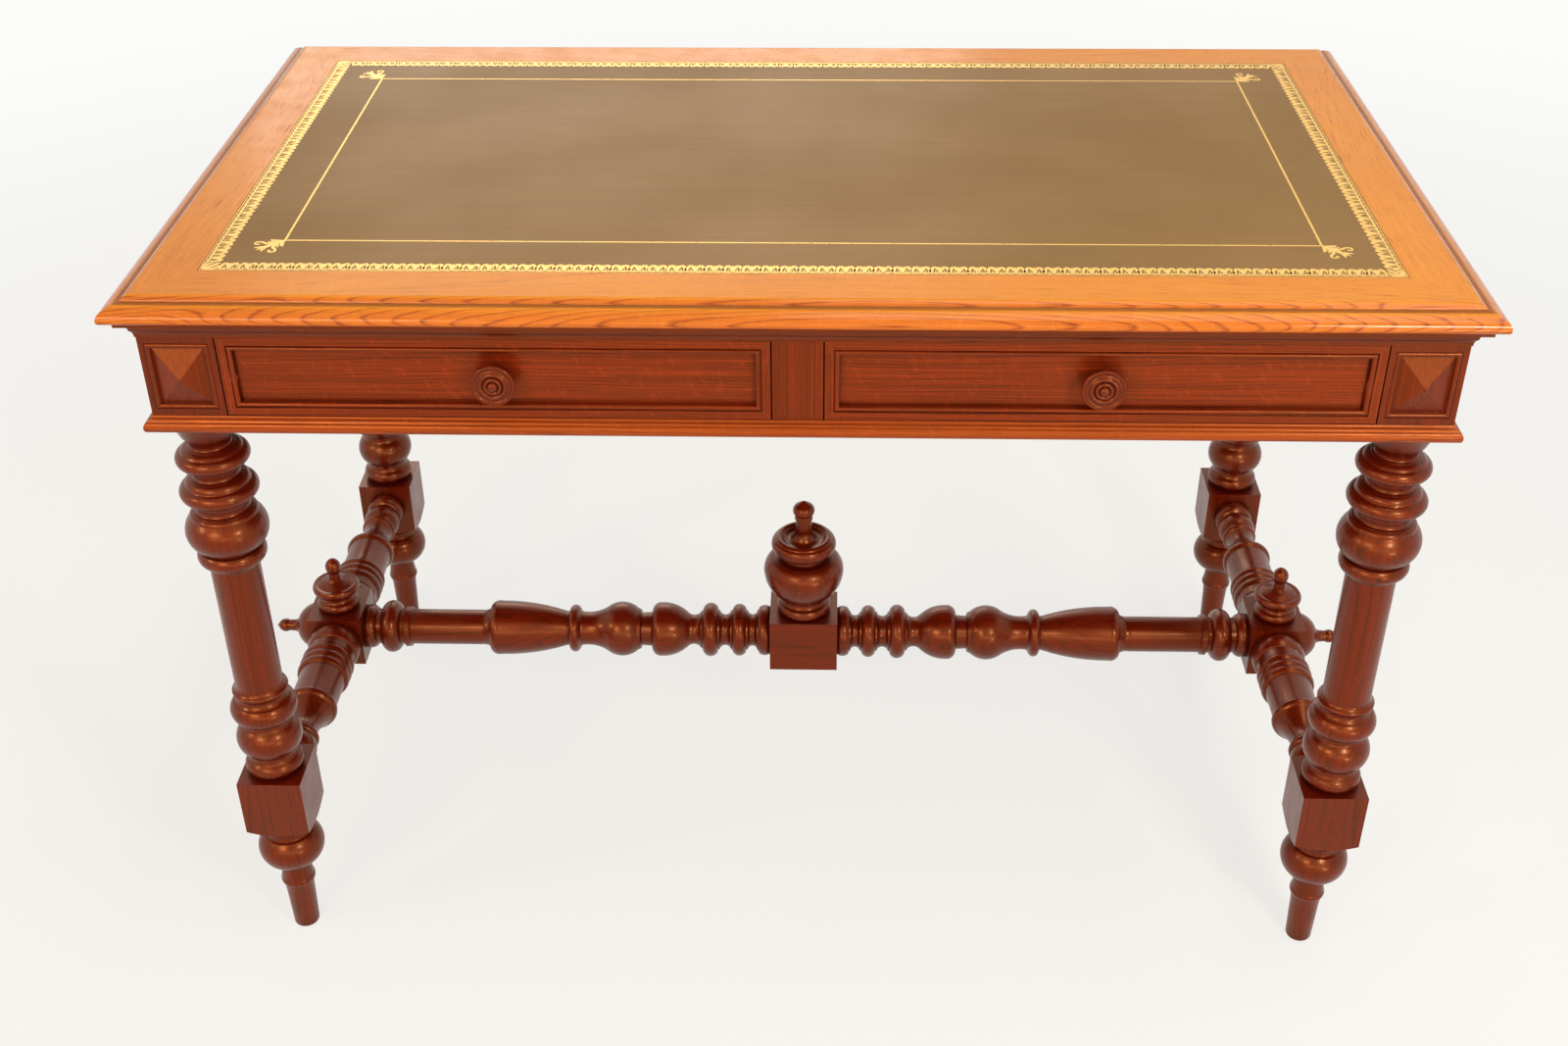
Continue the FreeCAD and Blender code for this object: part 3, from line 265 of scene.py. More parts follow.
def polished_oak(name, light, dark, grain, heart, ring=0.004, lean=0.0, wander=0.03, bow=(0, 0, 0), contrast=0.45,
                 strands=0.5, fleck=0.12, shine=0.3, gleam=0.8, coat=0.06, hollows=0.007, field=None, groove=None):
    """Oak whose growth rings are cylinders round the heart line, which runs along the grain.

    A point's distance from that line, over the ring's width, gives its place in its ring. Noise drawn out along
    the grain makes pores and fibres, and noise drawn out from the heart makes the pale rays; contrast, strands
    and fleck say how much the rings, the fibres and the rays show. Shine is the polish's roughness, gleam its
    specular level and coat the clear layer over it. Within hollows of an inner corner the colour is darkened: old
    wax there, and painted shade. What faces down is darkened too, as painted shade. A field, given as (x, z, half
    its width, half its height), has a mitred moulding round it. A groove is the height of a quirk along which a
    dark line is painted, painted shade of the quirk and dust in it; with it, the moulded edge is stained red and
    glossier than the flat.
    """
    material, tree, output = new_material(name)
    object_place = node(tree, "ShaderNodeTexCoord").outputs["Object"]
    place, glue = mitred(tree, object_place, field) if field else (object_place, None)
    along, parts, flat = in_the_log(tree, place, grain, heart, lean, wander, bow)
    facing = node(tree, "ShaderNodeNewGeometry").outputs["Normal"]
    facing_up = node(tree, "ShaderNodeSeparateXYZ", {0: facing}).outputs[2]

    away = node(tree, "ShaderNodeVectorMath", {0: flat}, operation="LENGTH").outputs["Value"]
    years = node(tree, "ShaderNodeVectorMath", {0: flat, 1: YEARS_WANDER}, operation="MULTIPLY").outputs[0]
    years = node(tree, "ShaderNodeTexNoise", {"Vector": years, "Scale": 1.0, "Detail": 1.0}).outputs[0]
    count = node(tree, "ShaderNodeMath", {0: away, 1: ring}, operation="DIVIDE").outputs[0]
    count = node(tree, "ShaderNodeMath", {0: years, 1: YEARS_UNEVEN, 2: count}, operation="MULTIPLY_ADD").outputs[0]
    count = node(tree, "ShaderNodeMath", {0: count}, operation="FRACT").outputs[0]
    ramp = node(tree, "ShaderNodeValToRGB", {0: count})
    ramp.color_ramp.elements[0].color = (SPRING_DARK, SPRING_DARK, SPRING_DARK, 1)
    ramp.color_ramp.elements[1].color = (AUTUMN_DARK, AUTUMN_DARK, AUTUMN_DARK, 1)
    for stop, value in SUMMER_DARK:
        ramp.color_ramp.elements.new(stop).color = (value, value, value, 1)
    rings = ramp.outputs[0]

    pores = node(tree, "ShaderNodeVectorMath", {0: along, 1: PORES}, operation="MULTIPLY").outputs[0]
    pores = node(tree, "ShaderNodeTexNoise", {"Vector": pores, "Scale": 1.0, "Detail": 1.0}).outputs[0]
    pores = node(tree, "ShaderNodeMapRange", {"Value": pores, "From Min": PORE_FROM,
                                             "From Max": PORE_FULL}).outputs[0]
    open_pores = node(tree, "ShaderNodeMath", {0: rings, 1: SPRING_PORES, 2: SUMMER_PORES},
                      operation="MULTIPLY_ADD").outputs[0]
    open_pores = node(tree, "ShaderNodeMath", {0: open_pores, 1: pores},
                      operation="MULTIPLY", use_clamp=True).outputs[0]

    # The figure is contrast times the ring, less on a face that looks up, and strands times the fibre.
    fibre = node(tree, "ShaderNodeVectorMath", {0: along, 1: FIBRES}, operation="MULTIPLY").outputs[0]
    fibre = node(tree, "ShaderNodeTexNoise", {"Vector": fibre, "Scale": 1.0, "Detail": 2.0}).outputs[0]
    drawn = node(tree, "ShaderNodeMapRange", {"Value": facing_up, "From Min": LOOKS_UP, "From Max": 1.0,
                                             "To Min": contrast, "To Max": contrast * FLAT_SHARE}).outputs[0]
    figure = node(tree, "ShaderNodeMath", {0: rings, 1: drawn, 2: -FIBRE_FLOOR * strands},
                  operation="MULTIPLY_ADD").outputs[0]
    figure = node(tree, "ShaderNodeMath", {0: fibre, 1: strands, 2: figure},
                  operation="MULTIPLY_ADD", use_clamp=True).outputs[0]

    stain = node(tree, "ShaderNodeTexNoise", {"Vector": place, "Scale": STAIN_PATCHES, "Detail": 2.0}).outputs[0]
    stain = node(tree, "ShaderNodeMapRange", {"Value": stain, "From Min": STAIN_FROM, "From Max": STAIN_FULL,
                                             "To Max": STAIN_SHOWN}).outputs[0]
    slant = node(tree, "ShaderNodeMath", {0: away, 1: RAY_SLANT, 2: parts[2]}, operation="MULTIPLY_ADD").outputs[0]
    rays = node(tree, "ShaderNodeCombineXYZ", {0: away, 1: parts[0], 2: slant}).outputs[0]
    rays = node(tree, "ShaderNodeVectorMath", {0: rays, 1: RAYS}, operation="MULTIPLY").outputs[0]
    rays = node(tree, "ShaderNodeTexNoise", {"Vector": rays, "Scale": 1.0, "Detail": 1.0}).outputs[0]
    rays = node(tree, "ShaderNodeMapRange", {"Value": rays, "From Min": RAY_FROM, "From Max": RAY_FULL,
                                            "To Max": fleck}).outputs[0]

    # Each layer over the figure: how much of it shows, its colour, and how it lies on what is under it.
    layers = [(stain, UNEVEN_STAIN, "MULTIPLY"), (rays, light, "SCREEN"), (open_pores, PORE_DARK, "MULTIPLY")]
    if field:
        layers.append((glue, GLUE_LINE, "MIX"))
    # Painted shade: what faces down is darkened, standing in for the shadow it lies in.
    under = node(tree, "ShaderNodeMapRange", {"Value": facing_up, "From Min": UNDER_FROM,
                                             "From Max": UNDER_FULL, "To Max": UNDER_SHOWN}).outputs[0]
    layers.append((under, UNDERSIDE_SHADE, "MULTIPLY"))
    if groove:
        # The moulded edge keeps its red stain, which hands and cloths have rubbed off the flat.
        edge = node(tree, "ShaderNodeMapRange", {"Value": facing_up, "From Min": EDGE_FROM, "From Max": 1.0,
                                                "To Min": 1.0, "To Max": 0.0}).outputs[0]
        coat = node(tree, "ShaderNodeMapRange", {"Value": edge, "To Min": coat, "To Max": EDGE_COAT}).outputs[0]
        # A dark line painted along the groove's height: painted shade of the quirk, and dust in it.
        groove_line = node(tree, "ShaderNodeSeparateXYZ", {0: object_place}).outputs[2]
        groove_line = node(tree, "ShaderNodeMath", {0: groove_line, 1: groove}, operation="SUBTRACT").outputs[0]
        groove_line = node(tree, "ShaderNodeMath", {0: groove_line}, operation="ABSOLUTE").outputs[0]
        groove_line = node(tree, "ShaderNodeMapRange", {"Value": groove_line, "From Min": GROOVE_HALF, "From Max": GROOVE_FADE,
                                                "To Min": GROOVE_LINE_SHOWN, "To Max": 0.0}).outputs[0]
        layers += [(edge, EDGE_STAIN, "MULTIPLY"), (groove_line, GROOVE_SHADE_AND_DUST, "MIX")]
    # The colour is darkened within hollows of an inner corner: old wax and dust in the quirks, and painted shade.
    wax_and_shade = node(tree, "ShaderNodeAmbientOcclusion", {"Distance": hollows}, samples=4).outputs["AO"]
    wax_and_shade = node(tree, "ShaderNodeMapRange", {"Value": wax_and_shade, "From Min": WAX_SHADE_FULL, "From Max": WAX_SHADE_FROM,
                                           "To Min": WAX_SHADE_SHOWN, "To Max": 0.0}).outputs[0]
    layers.append((wax_and_shade, WAX_AND_SHADE, "MULTIPLY"))
    colour = node(tree, "ShaderNodeMixRGB", {0: figure, 1: linear(light), 2: linear(dark)}).outputs[0]
    for share, tone, laid in layers:
        colour = node(tree, "ShaderNodeMixRGB", {0: share, 1: colour, 2: linear(tone)}, blend_type=laid).outputs[0]

    cloud = node(tree, "ShaderNodeTexNoise", {"Vector": place, "Scale": POLISH_PATCHES, "Detail": 3.0}).outputs[0]
    rough = node(tree, "ShaderNodeMapRange",
                 {"Value": cloud, "From Min": CLOUD_FROM, "From Max": CLOUD_FULL, "To Min": shine - SMOOTHER,
                  "To Max": shine + ROUGHER}).outputs[0]
    rough = node(tree, "ShaderNodeMath", {0: open_pores, 1: PORE_ROUGH, 2: rough},
                 operation="MULTIPLY_ADD").outputs[0]
    height = node(tree, "ShaderNodeMath", {0: fibre, 1: FIBRE_HEIGHT}, operation="MULTIPLY").outputs[0]
    height = node(tree, "ShaderNodeMath", {0: height, 1: open_pores}, operation="SUBTRACT").outputs[0]
    bump = node(tree, "ShaderNodeBump", {"Height": height, "Strength": BUMP_STRENGTH, "Distance": BUMP_DEEP})
    shader = node(tree, "ShaderNodeBsdfPrincipled",
                  {"Base Color": colour, "Roughness": rough, "Normal": bump.outputs[0],
                   "Specular IOR Level": gleam, "Specular Tint": linear(POLISH_TINT),
                   "Coat Weight": coat, "Coat Roughness": COAT_ROUGH})
    tree.links.new(shader.outputs[0], output.inputs[0])
    return material


WELD_REACH, SHARP_EDGE, ARRIS_STEPS, SHADING_WEIGHT = 1e-6, math.radians(38), 2, 60


def finished(name, material, arris=0.0):
    """A CAD node gets its material, and its arrises are eased by that much, in metres."""
    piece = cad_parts[name]
    for held in piece.material_slots:
        held.material = material
    if arris:
        seams = piece.modifiers.new("joined_faces", "WELD")
        seams.merge_threshold = WELD_REACH
        eased = piece.modifiers.new("eased_arrises", "BEVEL")
        eased.width = arris
        eased.segments = ARRIS_STEPS
        eased.limit_method = "ANGLE"
        eased.angle_limit = SHARP_EDGE
        shading = piece.modifiers.new("even_shading", "WEIGHTED_NORMAL")
        shading.weight = SHADING_WEIGHT


# Golden oak: clear golden wood under a thin, soft polish, with brown pore lines and only a faint gleam on the flat.
GOLDEN, GOLDEN_DARK = "#F2A030", "#9C4812"
GOLDEN_OAK = {"ring": 0.0032, "contrast": 0.7, "strands": 0.4, "wander": 0.02, "shine": 0.24, "gleam": 0.15,
              "coat": 0.07}
TOP_ARRIS = 0.0003
GROOVE_SHARE = 0.755
# Each board: its grain, a point of its heart line, and the line's bow, which takes its ends to the moulded edge.
TOP_BOARDS = {
    "front": ("x", (0.04, -0.268, 0.738), (0, 0.19, 0)),
    "rear": ("x", (-0.1, 0.268, 0.738), (0, -0.17, 0)),
    "left": ("y", (-0.52, 0.05, 0.738), (0.55, 0, 0)),
    "right": ("y", (0.52, -0.02, 0.738), (-0.6, 0, 0)),
}
low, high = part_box("top_frame_front")
groove = low[2] + GROOVE_SHARE * (high[2] - low[2])
for side, (grain, heart, bow) in TOP_BOARDS.items():
    board = polished_oak(f"golden_oak_{side}_board", GOLDEN, GOLDEN_DARK, grain, heart, bow=bow, groove=groove,
                         **GOLDEN_OAK)
    finished(f"top_frame_{side}", board, TOP_ARRIS)


# The writing surface: a thin skiver leather, dyed olive brown, glued into the top and flush with it. Its edges
# are turned down a little where they meet the wood, under the band that was tooled round it.
LEATHER_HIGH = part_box("writing_leather")[1]
BAND_WIDE = 0.0175


def surface_mesh(name, points):
    """A mesh of quads over a grid of points: rows by columns by three."""
    rows, columns = points.shape[:2]
    index = np.arange(rows * columns).reshape(rows, columns)
    quads = np.stack([index[:-1, :-1], index[:-1, 1:], index[1:, 1:], index[1:, :-1]], -1).reshape(-1, 4)
    mesh = bpy.data.meshes.new(name)
    mesh.from_pydata(points.reshape(-1, 3).tolist(), [], quads.tolist())
    mesh.shade_smooth()
    return mesh


def placed(mesh, material, body):
    """An object for a mesh that is already in its place, riding on a body."""
    mesh.materials.append(material)
    piece = bpy.data.objects.new(mesh.name, mesh)
    bpy.context.scene.collection.objects.link(piece)
    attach(piece, body)
    return piece


LEATHER_SINK = 0.00008
EDGE_FALL, EDGE_ROUND = 0.0007, 0.0014
INNER_X, INNER_Y, INNER_COLUMNS, INNER_ROWS = 0.47, 0.22, 40, 22
edge_x, edge_y = LEATHER_HIGH[0], LEATHER_HIGH[1]
# How far in from the edge the first rows of the mesh stand, closest together on the rounded rim.
inset = np.array([0, 0.0002, 0.0005, 0.0009, 0.0014, 0.0022, 0.006, 0.012, BAND_WIDE - 0.001, BAND_WIDE + 0.001])
across_x = np.concatenate([-edge_x + inset, np.linspace(-INNER_X, INNER_X, INNER_COLUMNS), edge_x - inset[::-1]])
across_y = np.concatenate([-edge_y + inset, np.linspace(-INNER_Y, INNER_Y, INNER_ROWS), edge_y - inset[::-1]])
grid_x, grid_y = np.meshgrid(across_x, across_y)
# Height: a quarter-round fall within the rounded rim, and level inside it.
from_edge = np.minimum(edge_x - abs(grid_x), edge_y - abs(grid_y))
fall = np.clip(1 - from_edge / EDGE_ROUND, 0, 1)
height = LEATHER_HIGH[2] - LEATHER_SINK - EDGE_FALL * (1 - np.sqrt(np.clip(1 - fall**2, 0, 1)))
leather_skin = surface_mesh("leather_skin", np.stack([grid_x, grid_y, height], -1))

# Skiver leather: dyed by hand in clouds 300 mm wide and wiped along its length in streaks 6 mm wide, with fine
# grain cells. Its wax gives it a low, broad sheen. Real cells are half a millimetre; they are drawn at 1.3 mm so
# that they show.
DYE_LIGHT, DYE_DARK, DYE_STREAK = "#98753A", "#886830", "#705630"
DYE_CLOUDS, CLOUD_LIGHT, CLOUD_DARK = 3.2, 0.32, 0.68
STREAK_WAVES, STREAK_FROM, STREAK_FULL, STREAK_SHOWN = (6, 160, 1), 0.35, 0.7, 0.22
CELLS, CREASE_SHOWN, CREASE_WIDE = 760.0, 0.12, 0.22
GRAIN_STRENGTH, GRAIN_DEEP = 0.25, 0.00008
WAXED_ROUGH, WIPED_ROUGH = 0.4, 0.5
LEATHER_GLEAM, LEATHER_TINT = 0.22, "#F4E8D8"
leather, tree, output = new_material("olive_brown_skiver_leather")
place = node(tree, "ShaderNodeTexCoord").outputs["Object"]
cloud = node(tree, "ShaderNodeTexNoise", {"Vector": place, "Scale": DYE_CLOUDS, "Detail": 4.0, "Roughness": 0.6})
cloud = node(tree, "ShaderNodeMapRange", {"Value": cloud.outputs[0], "From Min": CLOUD_LIGHT,
                                         "From Max": CLOUD_DARK})
tone = node(tree, "ShaderNodeMixRGB", {0: cloud.outputs[0], 1: linear(DYE_LIGHT), 2: linear(DYE_DARK)})
streak = node(tree, "ShaderNodeVectorMath", {0: place, 1: STREAK_WAVES}, operation="MULTIPLY")
streak = node(tree, "ShaderNodeTexNoise", {"Vector": streak.outputs[0], "Scale": 1.0, "Detail": 3.0})
streak = node(tree, "ShaderNodeMapRange", {"Value": streak.outputs[0], "From Min": STREAK_FROM,
                                          "From Max": STREAK_FULL, "To Max": STREAK_SHOWN})
tone = node(tree, "ShaderNodeMixRGB", {0: streak.outputs[0], 1: tone.outputs[0], 2: linear(DYE_STREAK)})
cells = node(tree, "ShaderNodeTexVoronoi", {"Vector": place, "Scale": CELLS}, feature="DISTANCE_TO_EDGE")
cells = node(tree, "ShaderNodeMapRange", {"Value": cells.outputs[0], "From Max": CREASE_WIDE})
tone = node(tree, "ShaderNodeMixRGB", {0: CREASE_SHOWN, 1: tone.outputs[0], 2: cells.outputs[0]},
            blend_type="MULTIPLY")
bump = node(tree, "ShaderNodeBump", {"Height": cells.outputs[0], "Strength": GRAIN_STRENGTH,
                                    "Distance": GRAIN_DEEP})
rough = node(tree, "ShaderNodeMapRange", {"Value": cloud.outputs[0], "To Min": WAXED_ROUGH, "To Max": WIPED_ROUGH})
shader = node(tree, "ShaderNodeBsdfPrincipled",
              {"Base Color": tone.outputs[0], "Roughness": rough.outputs[0], "Normal": bump.outputs[0],
               "Specular IOR Level": LEATHER_GLEAM, "Specular Tint": linear(LEATHER_TINT)})
tree.links.new(shader.outputs[0], output.inputs[0])
skin = placed(leather_skin, leather, "table")
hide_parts("writing_leather")


# The gilt tooling: gold leaf pressed on with heated brass wheels and stamps. A band of paired arches and leaves
# goes round the edge, outside it a thin line; a beaded fillet lies further in, with a fleuron outside each corner.
MM = 0.001
GILT_HIGH = LEATHER_HIGH[2] - 0.03 * MM
LEAF_THICK, LEAF_LAYERS = 0.003 * MM, 9


def through(points, count):
    """A smooth line through points: a Catmull-Rom spline, sampled evenly in its own parameter."""
    points = np.array(points, float)
    ends = np.vstack([2 * points[0] - points[1], points, 2 * points[-1] - points[-2]])
    just_short = 1e-9
    at = np.linspace(0, len(points) - 1 - just_short, count)
    start, part = at.astype(int), (at % 1)[:, None]
    p0, p1, p2, p3 = (ends[start + step] for step in range(4))
    return 0.5 * (2 * p1 + (p2 - p0) * part + (2 * p0 - 5 * p1 + 4 * p2 - p3) * part**2
                  + (3 * p1 - p0 - 3 * p2 + p3) * part**3)


def ribbon(points, widths, count):
    """Two rows of points, half a width to either side of a smooth line; the widths are spread along it."""
    line = through(points, count)
    ahead = np.gradient(line, axis=0)
    across = np.stack([-ahead[:, 1], ahead[:, 0]], 1) / np.linalg.norm(ahead, axis=1)[:, None]
    half = np.interp(np.linspace(0, 1, count), np.linspace(0, 1, len(widths)), widths)[:, None] / 2
    return np.stack([line - across * half, line + across * half], 1)


def gilt_mesh(name, ribbons):
    """A flat mesh of ribbons, each a run of quads between its two rows of points.

    Where leaf laps over leaf it lies higher: each ribbon is one layer above the one before, in turns of nine.
    """
    corners, quads, start = [], [], 0
    for number, strip in enumerate(ribbons):
        count = len(strip)
        high = GILT_HIGH + LEAF_THICK * (number % LEAF_LAYERS)
        corners.append(np.concatenate([strip.reshape(-1, 2), np.full((2 * count, 1), high)], 1))
        first = start + 2 * np.arange(count - 1)
        quads.append(np.stack([first, first + 2, first + 3, first + 1], 1))
        start += 2 * count
    mesh = bpy.data.meshes.new(name)
    mesh.from_pydata(np.concatenate(corners).tolist(), [], np.concatenate(quads).tolist())
    return mesh


def carried(strip, at, turned=0.0, mirror=1):
    """A ribbon moved to a place on the leather, after a mirror across its own length and a turn."""
    c, s = math.cos(turned), math.sin(turned)
    moved = strip * (1, mirror)
    moved = moved @ np.array([[c, s], [-s, c]]) + at
    return moved[:, ::-1] if mirror < 0 else moved


SCROLL_PITCH = 16.0
# In millimetres, along the band and in from the leather's edge: an arch over an open eye, its mirror image beside
# it, a leaf between the two, a bud where one pair meets the next, a stem in each eye, and a waved foot.
ARCH = ribbon([(0.7, 5.4), (1.1, 10), (2.6, 14.4), (4.7, 14.6), (6.3, 11), (8, 6)],
              (2.4, 2.8, 3.2, 3.4, 3.0, 2.6), 14)
SCROLL = [
    ARCH,
    (ARCH * (-1, 1) + (SCROLL_PITCH, 0))[:, ::-1],
    ribbon([(8, 6.5), (8, 11), (8, 15.6)], (1.6, 3.2, 0.8), 6),
    ribbon([(0, 4), (0, 8), (0, 12)], (2.4, 3.0, 0.6), 5),
    ribbon([(4.2, 4), (4.3, 8.8)], (1.2, 0.5), 3),
    ribbon([(11.8, 4), (11.7, 8.8)], (1.2, 0.5), 3),
    ribbon([(0, 4.6), (4, 3.5), (8, 4.6), (12, 3.5), (16, 4.6)], (2.2, 1.8, 2.4, 1.8, 2.2), 12),
]
# In millimetres from the leather's corner, along both edges: a leaf on the diagonal, a leaf curled to either
# side of it, and the two ends of the waved foot.
CORNER_PIECE = [
    ribbon([(3, 3), (8, 8), (13.4, 13.4), (16.2, 16.2)], (1.4, 4.0, 4.2, 0.4), 9),
    ribbon([(5, 4), (10, 4.6), (14.6, 7.4), (15.6, 11)], (1.0, 2.8, 2.8, 0.6), 9),
    ribbon([(4, 5), (4.6, 10), (7.4, 14.6), (11, 15.6)], (1.0, 2.8, 2.8, 0.6), 9),
    ribbon([(3, 2.9), (8, 2.7), (13, 3.0), (17.5, 4.4)], (0.8, 1.6, 1.8, 1.8), 7),
    ribbon([(2.9, 3), (2.7, 8), (3.0, 13), (4.4, 17.5)], (0.8, 1.6, 1.8, 1.8), 7),
]
RAIL_IN, RAIL_WIDE = 1.2, 0.9
edges = [((-edge_x, -edge_y), 0, 2 * edge_x), ((edge_x, -edge_y), math.pi / 2, 2 * edge_y),
         ((edge_x, edge_y), math.pi, 2 * edge_x), ((-edge_x, edge_y), -math.pi / 2, 2 * edge_y)]
band = []
for corner, turned, length in edges:
    free = length / MM - 2 * (BAND_WIDE / MM)
    count = round(free / SCROLL_PITCH)
    pitch = free / count
    for k in range(count):
        start = np.array([BAND_WIDE / MM + k * pitch, 0])
        stretch = np.array([pitch / SCROLL_PITCH, 1])
        band += [carried((strip * stretch + start) * MM, corner, turned) for strip in SCROLL]
    band += [carried(strip * MM, corner, turned) for strip in CORNER_PIECE]
    rail = ribbon([(RAIL_IN, RAIL_IN), (length / MM - RAIL_IN, RAIL_IN)], (RAIL_WIDE, RAIL_WIDE), 2)
    band.append(carried(rail * MM, corner, turned))

# Gold leaf: bright and warm where it holds, browner and duller in specks 2 mm wide where it is rubbed through.
LEAF_RUBBED, LEAF_BRIGHT = "#C08838", "#FFCE70"
RUBBED_METAL, BRIGHT_METAL, LEAF_ROUGH = 0.2, 0.75, 0.36
WEAR_SPECKS, WORN_THROUGH, WHOLE = 420.0, 0.3, 0.42
gold_leaf, tree, output = new_material("gold_leaf")
place = node(tree, "ShaderNodeTexCoord").outputs["Object"]
wear = node(tree, "ShaderNodeTexNoise", {"Vector": place, "Scale": WEAR_SPECKS, "Detail": 3.0})
wear = node(tree, "ShaderNodeMapRange", {"Value": wear.outputs[0], "From Min": WORN_THROUGH,
                                        "From Max": WHOLE})
tone = node(tree, "ShaderNodeMixRGB", {0: wear.outputs[0], 1: linear(LEAF_RUBBED), 2: linear(LEAF_BRIGHT)})
metal = node(tree, "ShaderNodeMapRange", {"Value": wear.outputs[0], "To Min": RUBBED_METAL,
                                         "To Max": BRIGHT_METAL})
shader = node(tree, "ShaderNodeBsdfPrincipled",
              {"Base Color": tone.outputs[0], "Metallic": metal.outputs[0], "Roughness": LEAF_ROUGH})
tree.links.new(shader.outputs[0], output.inputs[0])
placed(gilt_mesh("gilt_scroll_band", band), gold_leaf, "table")

# The fillet: slanting beads, one after another, along a rectangle.
BEAD_PITCH = 2.4
LINE_X, LINE_FRONT, LINE_REAR = 0.457, -0.204, 0.210
line_corners = np.array([[-LINE_X, LINE_FRONT], [LINE_X, LINE_FRONT], [LINE_X, LINE_REAR], [-LINE_X, LINE_REAR]])
bead = ribbon([(-1.15, 0.25), (0, 0), (1.15, -0.25)], (1.1, 2.8, 1.1), 5)
fillet = []
for here, there in zip(line_corners, np.roll(line_corners, -1, 0)):
    length = np.linalg.norm(there - here) / MM
    turned = math.atan2(*(there - here)[::-1])
    beads = np.linspace(0, length, round(length / BEAD_PITCH), endpoint=False)
    fillet += [carried((bead + (at, 0)) * MM, here, turned) for at in beads]
placed(gilt_mesh("gilt_beaded_fillet", fillet), gold_leaf, "table")

# In millimetres, outward along the diagonal from the fillet's corner, and across it: a curl, two lobes and a tip
# on either side of a stem.
HALF_FLEURON = [
    ribbon([(7, 0.6), (12.5, 2.2), (15.8, 6), (16.6, 10.6), (19, 13.8), (22.4, 13), (23, 9.8), (20.2, 8.8)],
           (2.4, 3.0, 3.0, 2.6, 2.2, 2.1, 2.0, 2.6), 24),
    ribbon([(2, 0.6), (5, 3.4), (7.6, 6.6), (8.6, 10)], (2.2, 3.8, 3.8, 1.0), 9),
    ribbon([(8, 2), (11.4, 5), (12.2, 8.6)], (1.8, 2.6, 0.8), 7),
    ribbon([(19, 0.8), (24.5, 2.8), (28, 6)], (2.2, 3.4, 0.8), 8),
]
STEM = ribbon([(-1, 0), (9, 0), (19, 0), (29.5, 0)], (2.8, 4.2, 5.0, 0.8), 12)
fleurons = []
for (x, y), turned in zip(line_corners, (-135, -45, 45, 135)):
    for mirror in (1, -1):
        fleurons += [carried(strip * MM, (x, y), math.radians(turned), mirror) for strip in HALF_FLEURON]
    fleurons.append(carried(STEM * MM, (x, y), math.radians(turned)))
placed(gilt_mesh("gilt_fleurons", fleurons), gold_leaf, "table")


# The mouldings under the top and at the foot of the frieze: red oak lengths, mitred and glued. The upper ones
# are coloured darker than the frieze, painted shade for the shadow of the top; the lower ones a lighter orange,
# painted light for the light on their upward-facing noses.
MOULDING_ARRIS = 0.0003
MOULDING_RING = 0.003
# Each kind: the height of its heart, and its light and dark colour; the bed's darkened as painted shade, the base's
# lightened as painted light.
MOULDINGS = {"bed": (0.75, "#6C260C", "#3E1406"), "base": (0.60, "#A64A1A", "#5E2009")}
MOULDING_HEARTS = {"front": ("x", (0, -0.36)), "rear": ("x", (0, 0.36)), "left": ("y", (-0.62, 0)),
                   "right": ("y", (0.62, 0))}
for kind, (heart_z, light, dark) in MOULDINGS.items():
    for side, (grain, heart) in MOULDING_HEARTS.items():
        length = polished_oak(f"red_oak_{kind}_moulding_{side}", light, dark, grain, (*heart, heart_z),
                              ring=MOULDING_RING)
        finished(f"{kind}_moulding_{side}", length, MOULDING_ARRIS)


# The frieze: rails, the stile between the drawers, planted field mouldings, and the faceted corner panels, in
# quarter-sawn oak stained red brown. Its rings are fine level lines, its fibres show as dark and light threads,
# and its rays are pale slanting streaks.
FRIEZE, FRIEZE_DARK = "#80290D", "#3A0F05"
FRIEZE_ARRIS = 0.0004
QUARTERED = {"ring": 0.0028, "contrast": 0.6, "strands": 1.3}
STANDING = {"ring": 0.003, "contrast": 0.5, "strands": 1.1, "fleck": 0.05}
quartered = {
    "front": polished_oak("red_oak_frieze_front", FRIEZE, FRIEZE_DARK, "x", (0, -0.2, 0.35), **QUARTERED),
    "side": polished_oak("red_oak_frieze_side", FRIEZE, FRIEZE_DARK, "y", (0.3, 0, 0.3), **QUARTERED),
    "stile": polished_oak("red_oak_frieze_stile", FRIEZE, FRIEZE_DARK, "z", (0.2, -0.2, 0.7), **STANDING),
}
FRIEZE_PIECES = {
    "front": ("front_top_rail", "front_bottom_rail", "rear_rail", "rear_field_mouldings"),
    "side": ("left_rail", "right_rail", "left_field_moulding", "right_field_moulding"),
    "stile": ("centre_stile",),
}
for wood, names in FRIEZE_PIECES.items():
    for name in names:
        finished(name, quartered[wood], FRIEZE_ARRIS)
for corner in ("front_left", "front_right", "rear_left", "rear_right"):
    finished(f"corner_panels_{corner}", quartered["stile"])


# The drawers: each front has a sunk field with a mitred moulding round it and a turned knob, all of red oak. The
# lining behind it is planed oak, pale and without polish, so that it looks dry and matt.
LINING, LINING_DARK, LINING_SHINE = "#C9A274", "#A67C4C", 0.6
FRONT, FRONT_DARK = "#903112", "#401005"
KNOB, KNOB_DARK = "#6E2009", "#360B04"
FRONT_OAK = {"ring": 0.0027, "contrast": 0.6, "strands": 1.3, "fleck": 0.2}
KNOB_OAK = {"ring": 0.003, "shine": 0.26, "coat": 0.12}
FRONT_HEARTS = {"left": (-0.4, -0.25, 0.38), "right": (0.3, -0.25, 0.38)}
KNOB_HEARTS = {"left": (-0.2, -0.3, 0.66), "right": (0.12, -0.3, 0.66)}
FIELD_ARRIS, LINING_ARRIS = 0.0003, 0.0005
MOULDING_WIDE = 0.012
lining = polished_oak("planed_oak_lining", LINING, LINING_DARK, "y", (0.3, 0, 0.55), shine=LINING_SHINE)
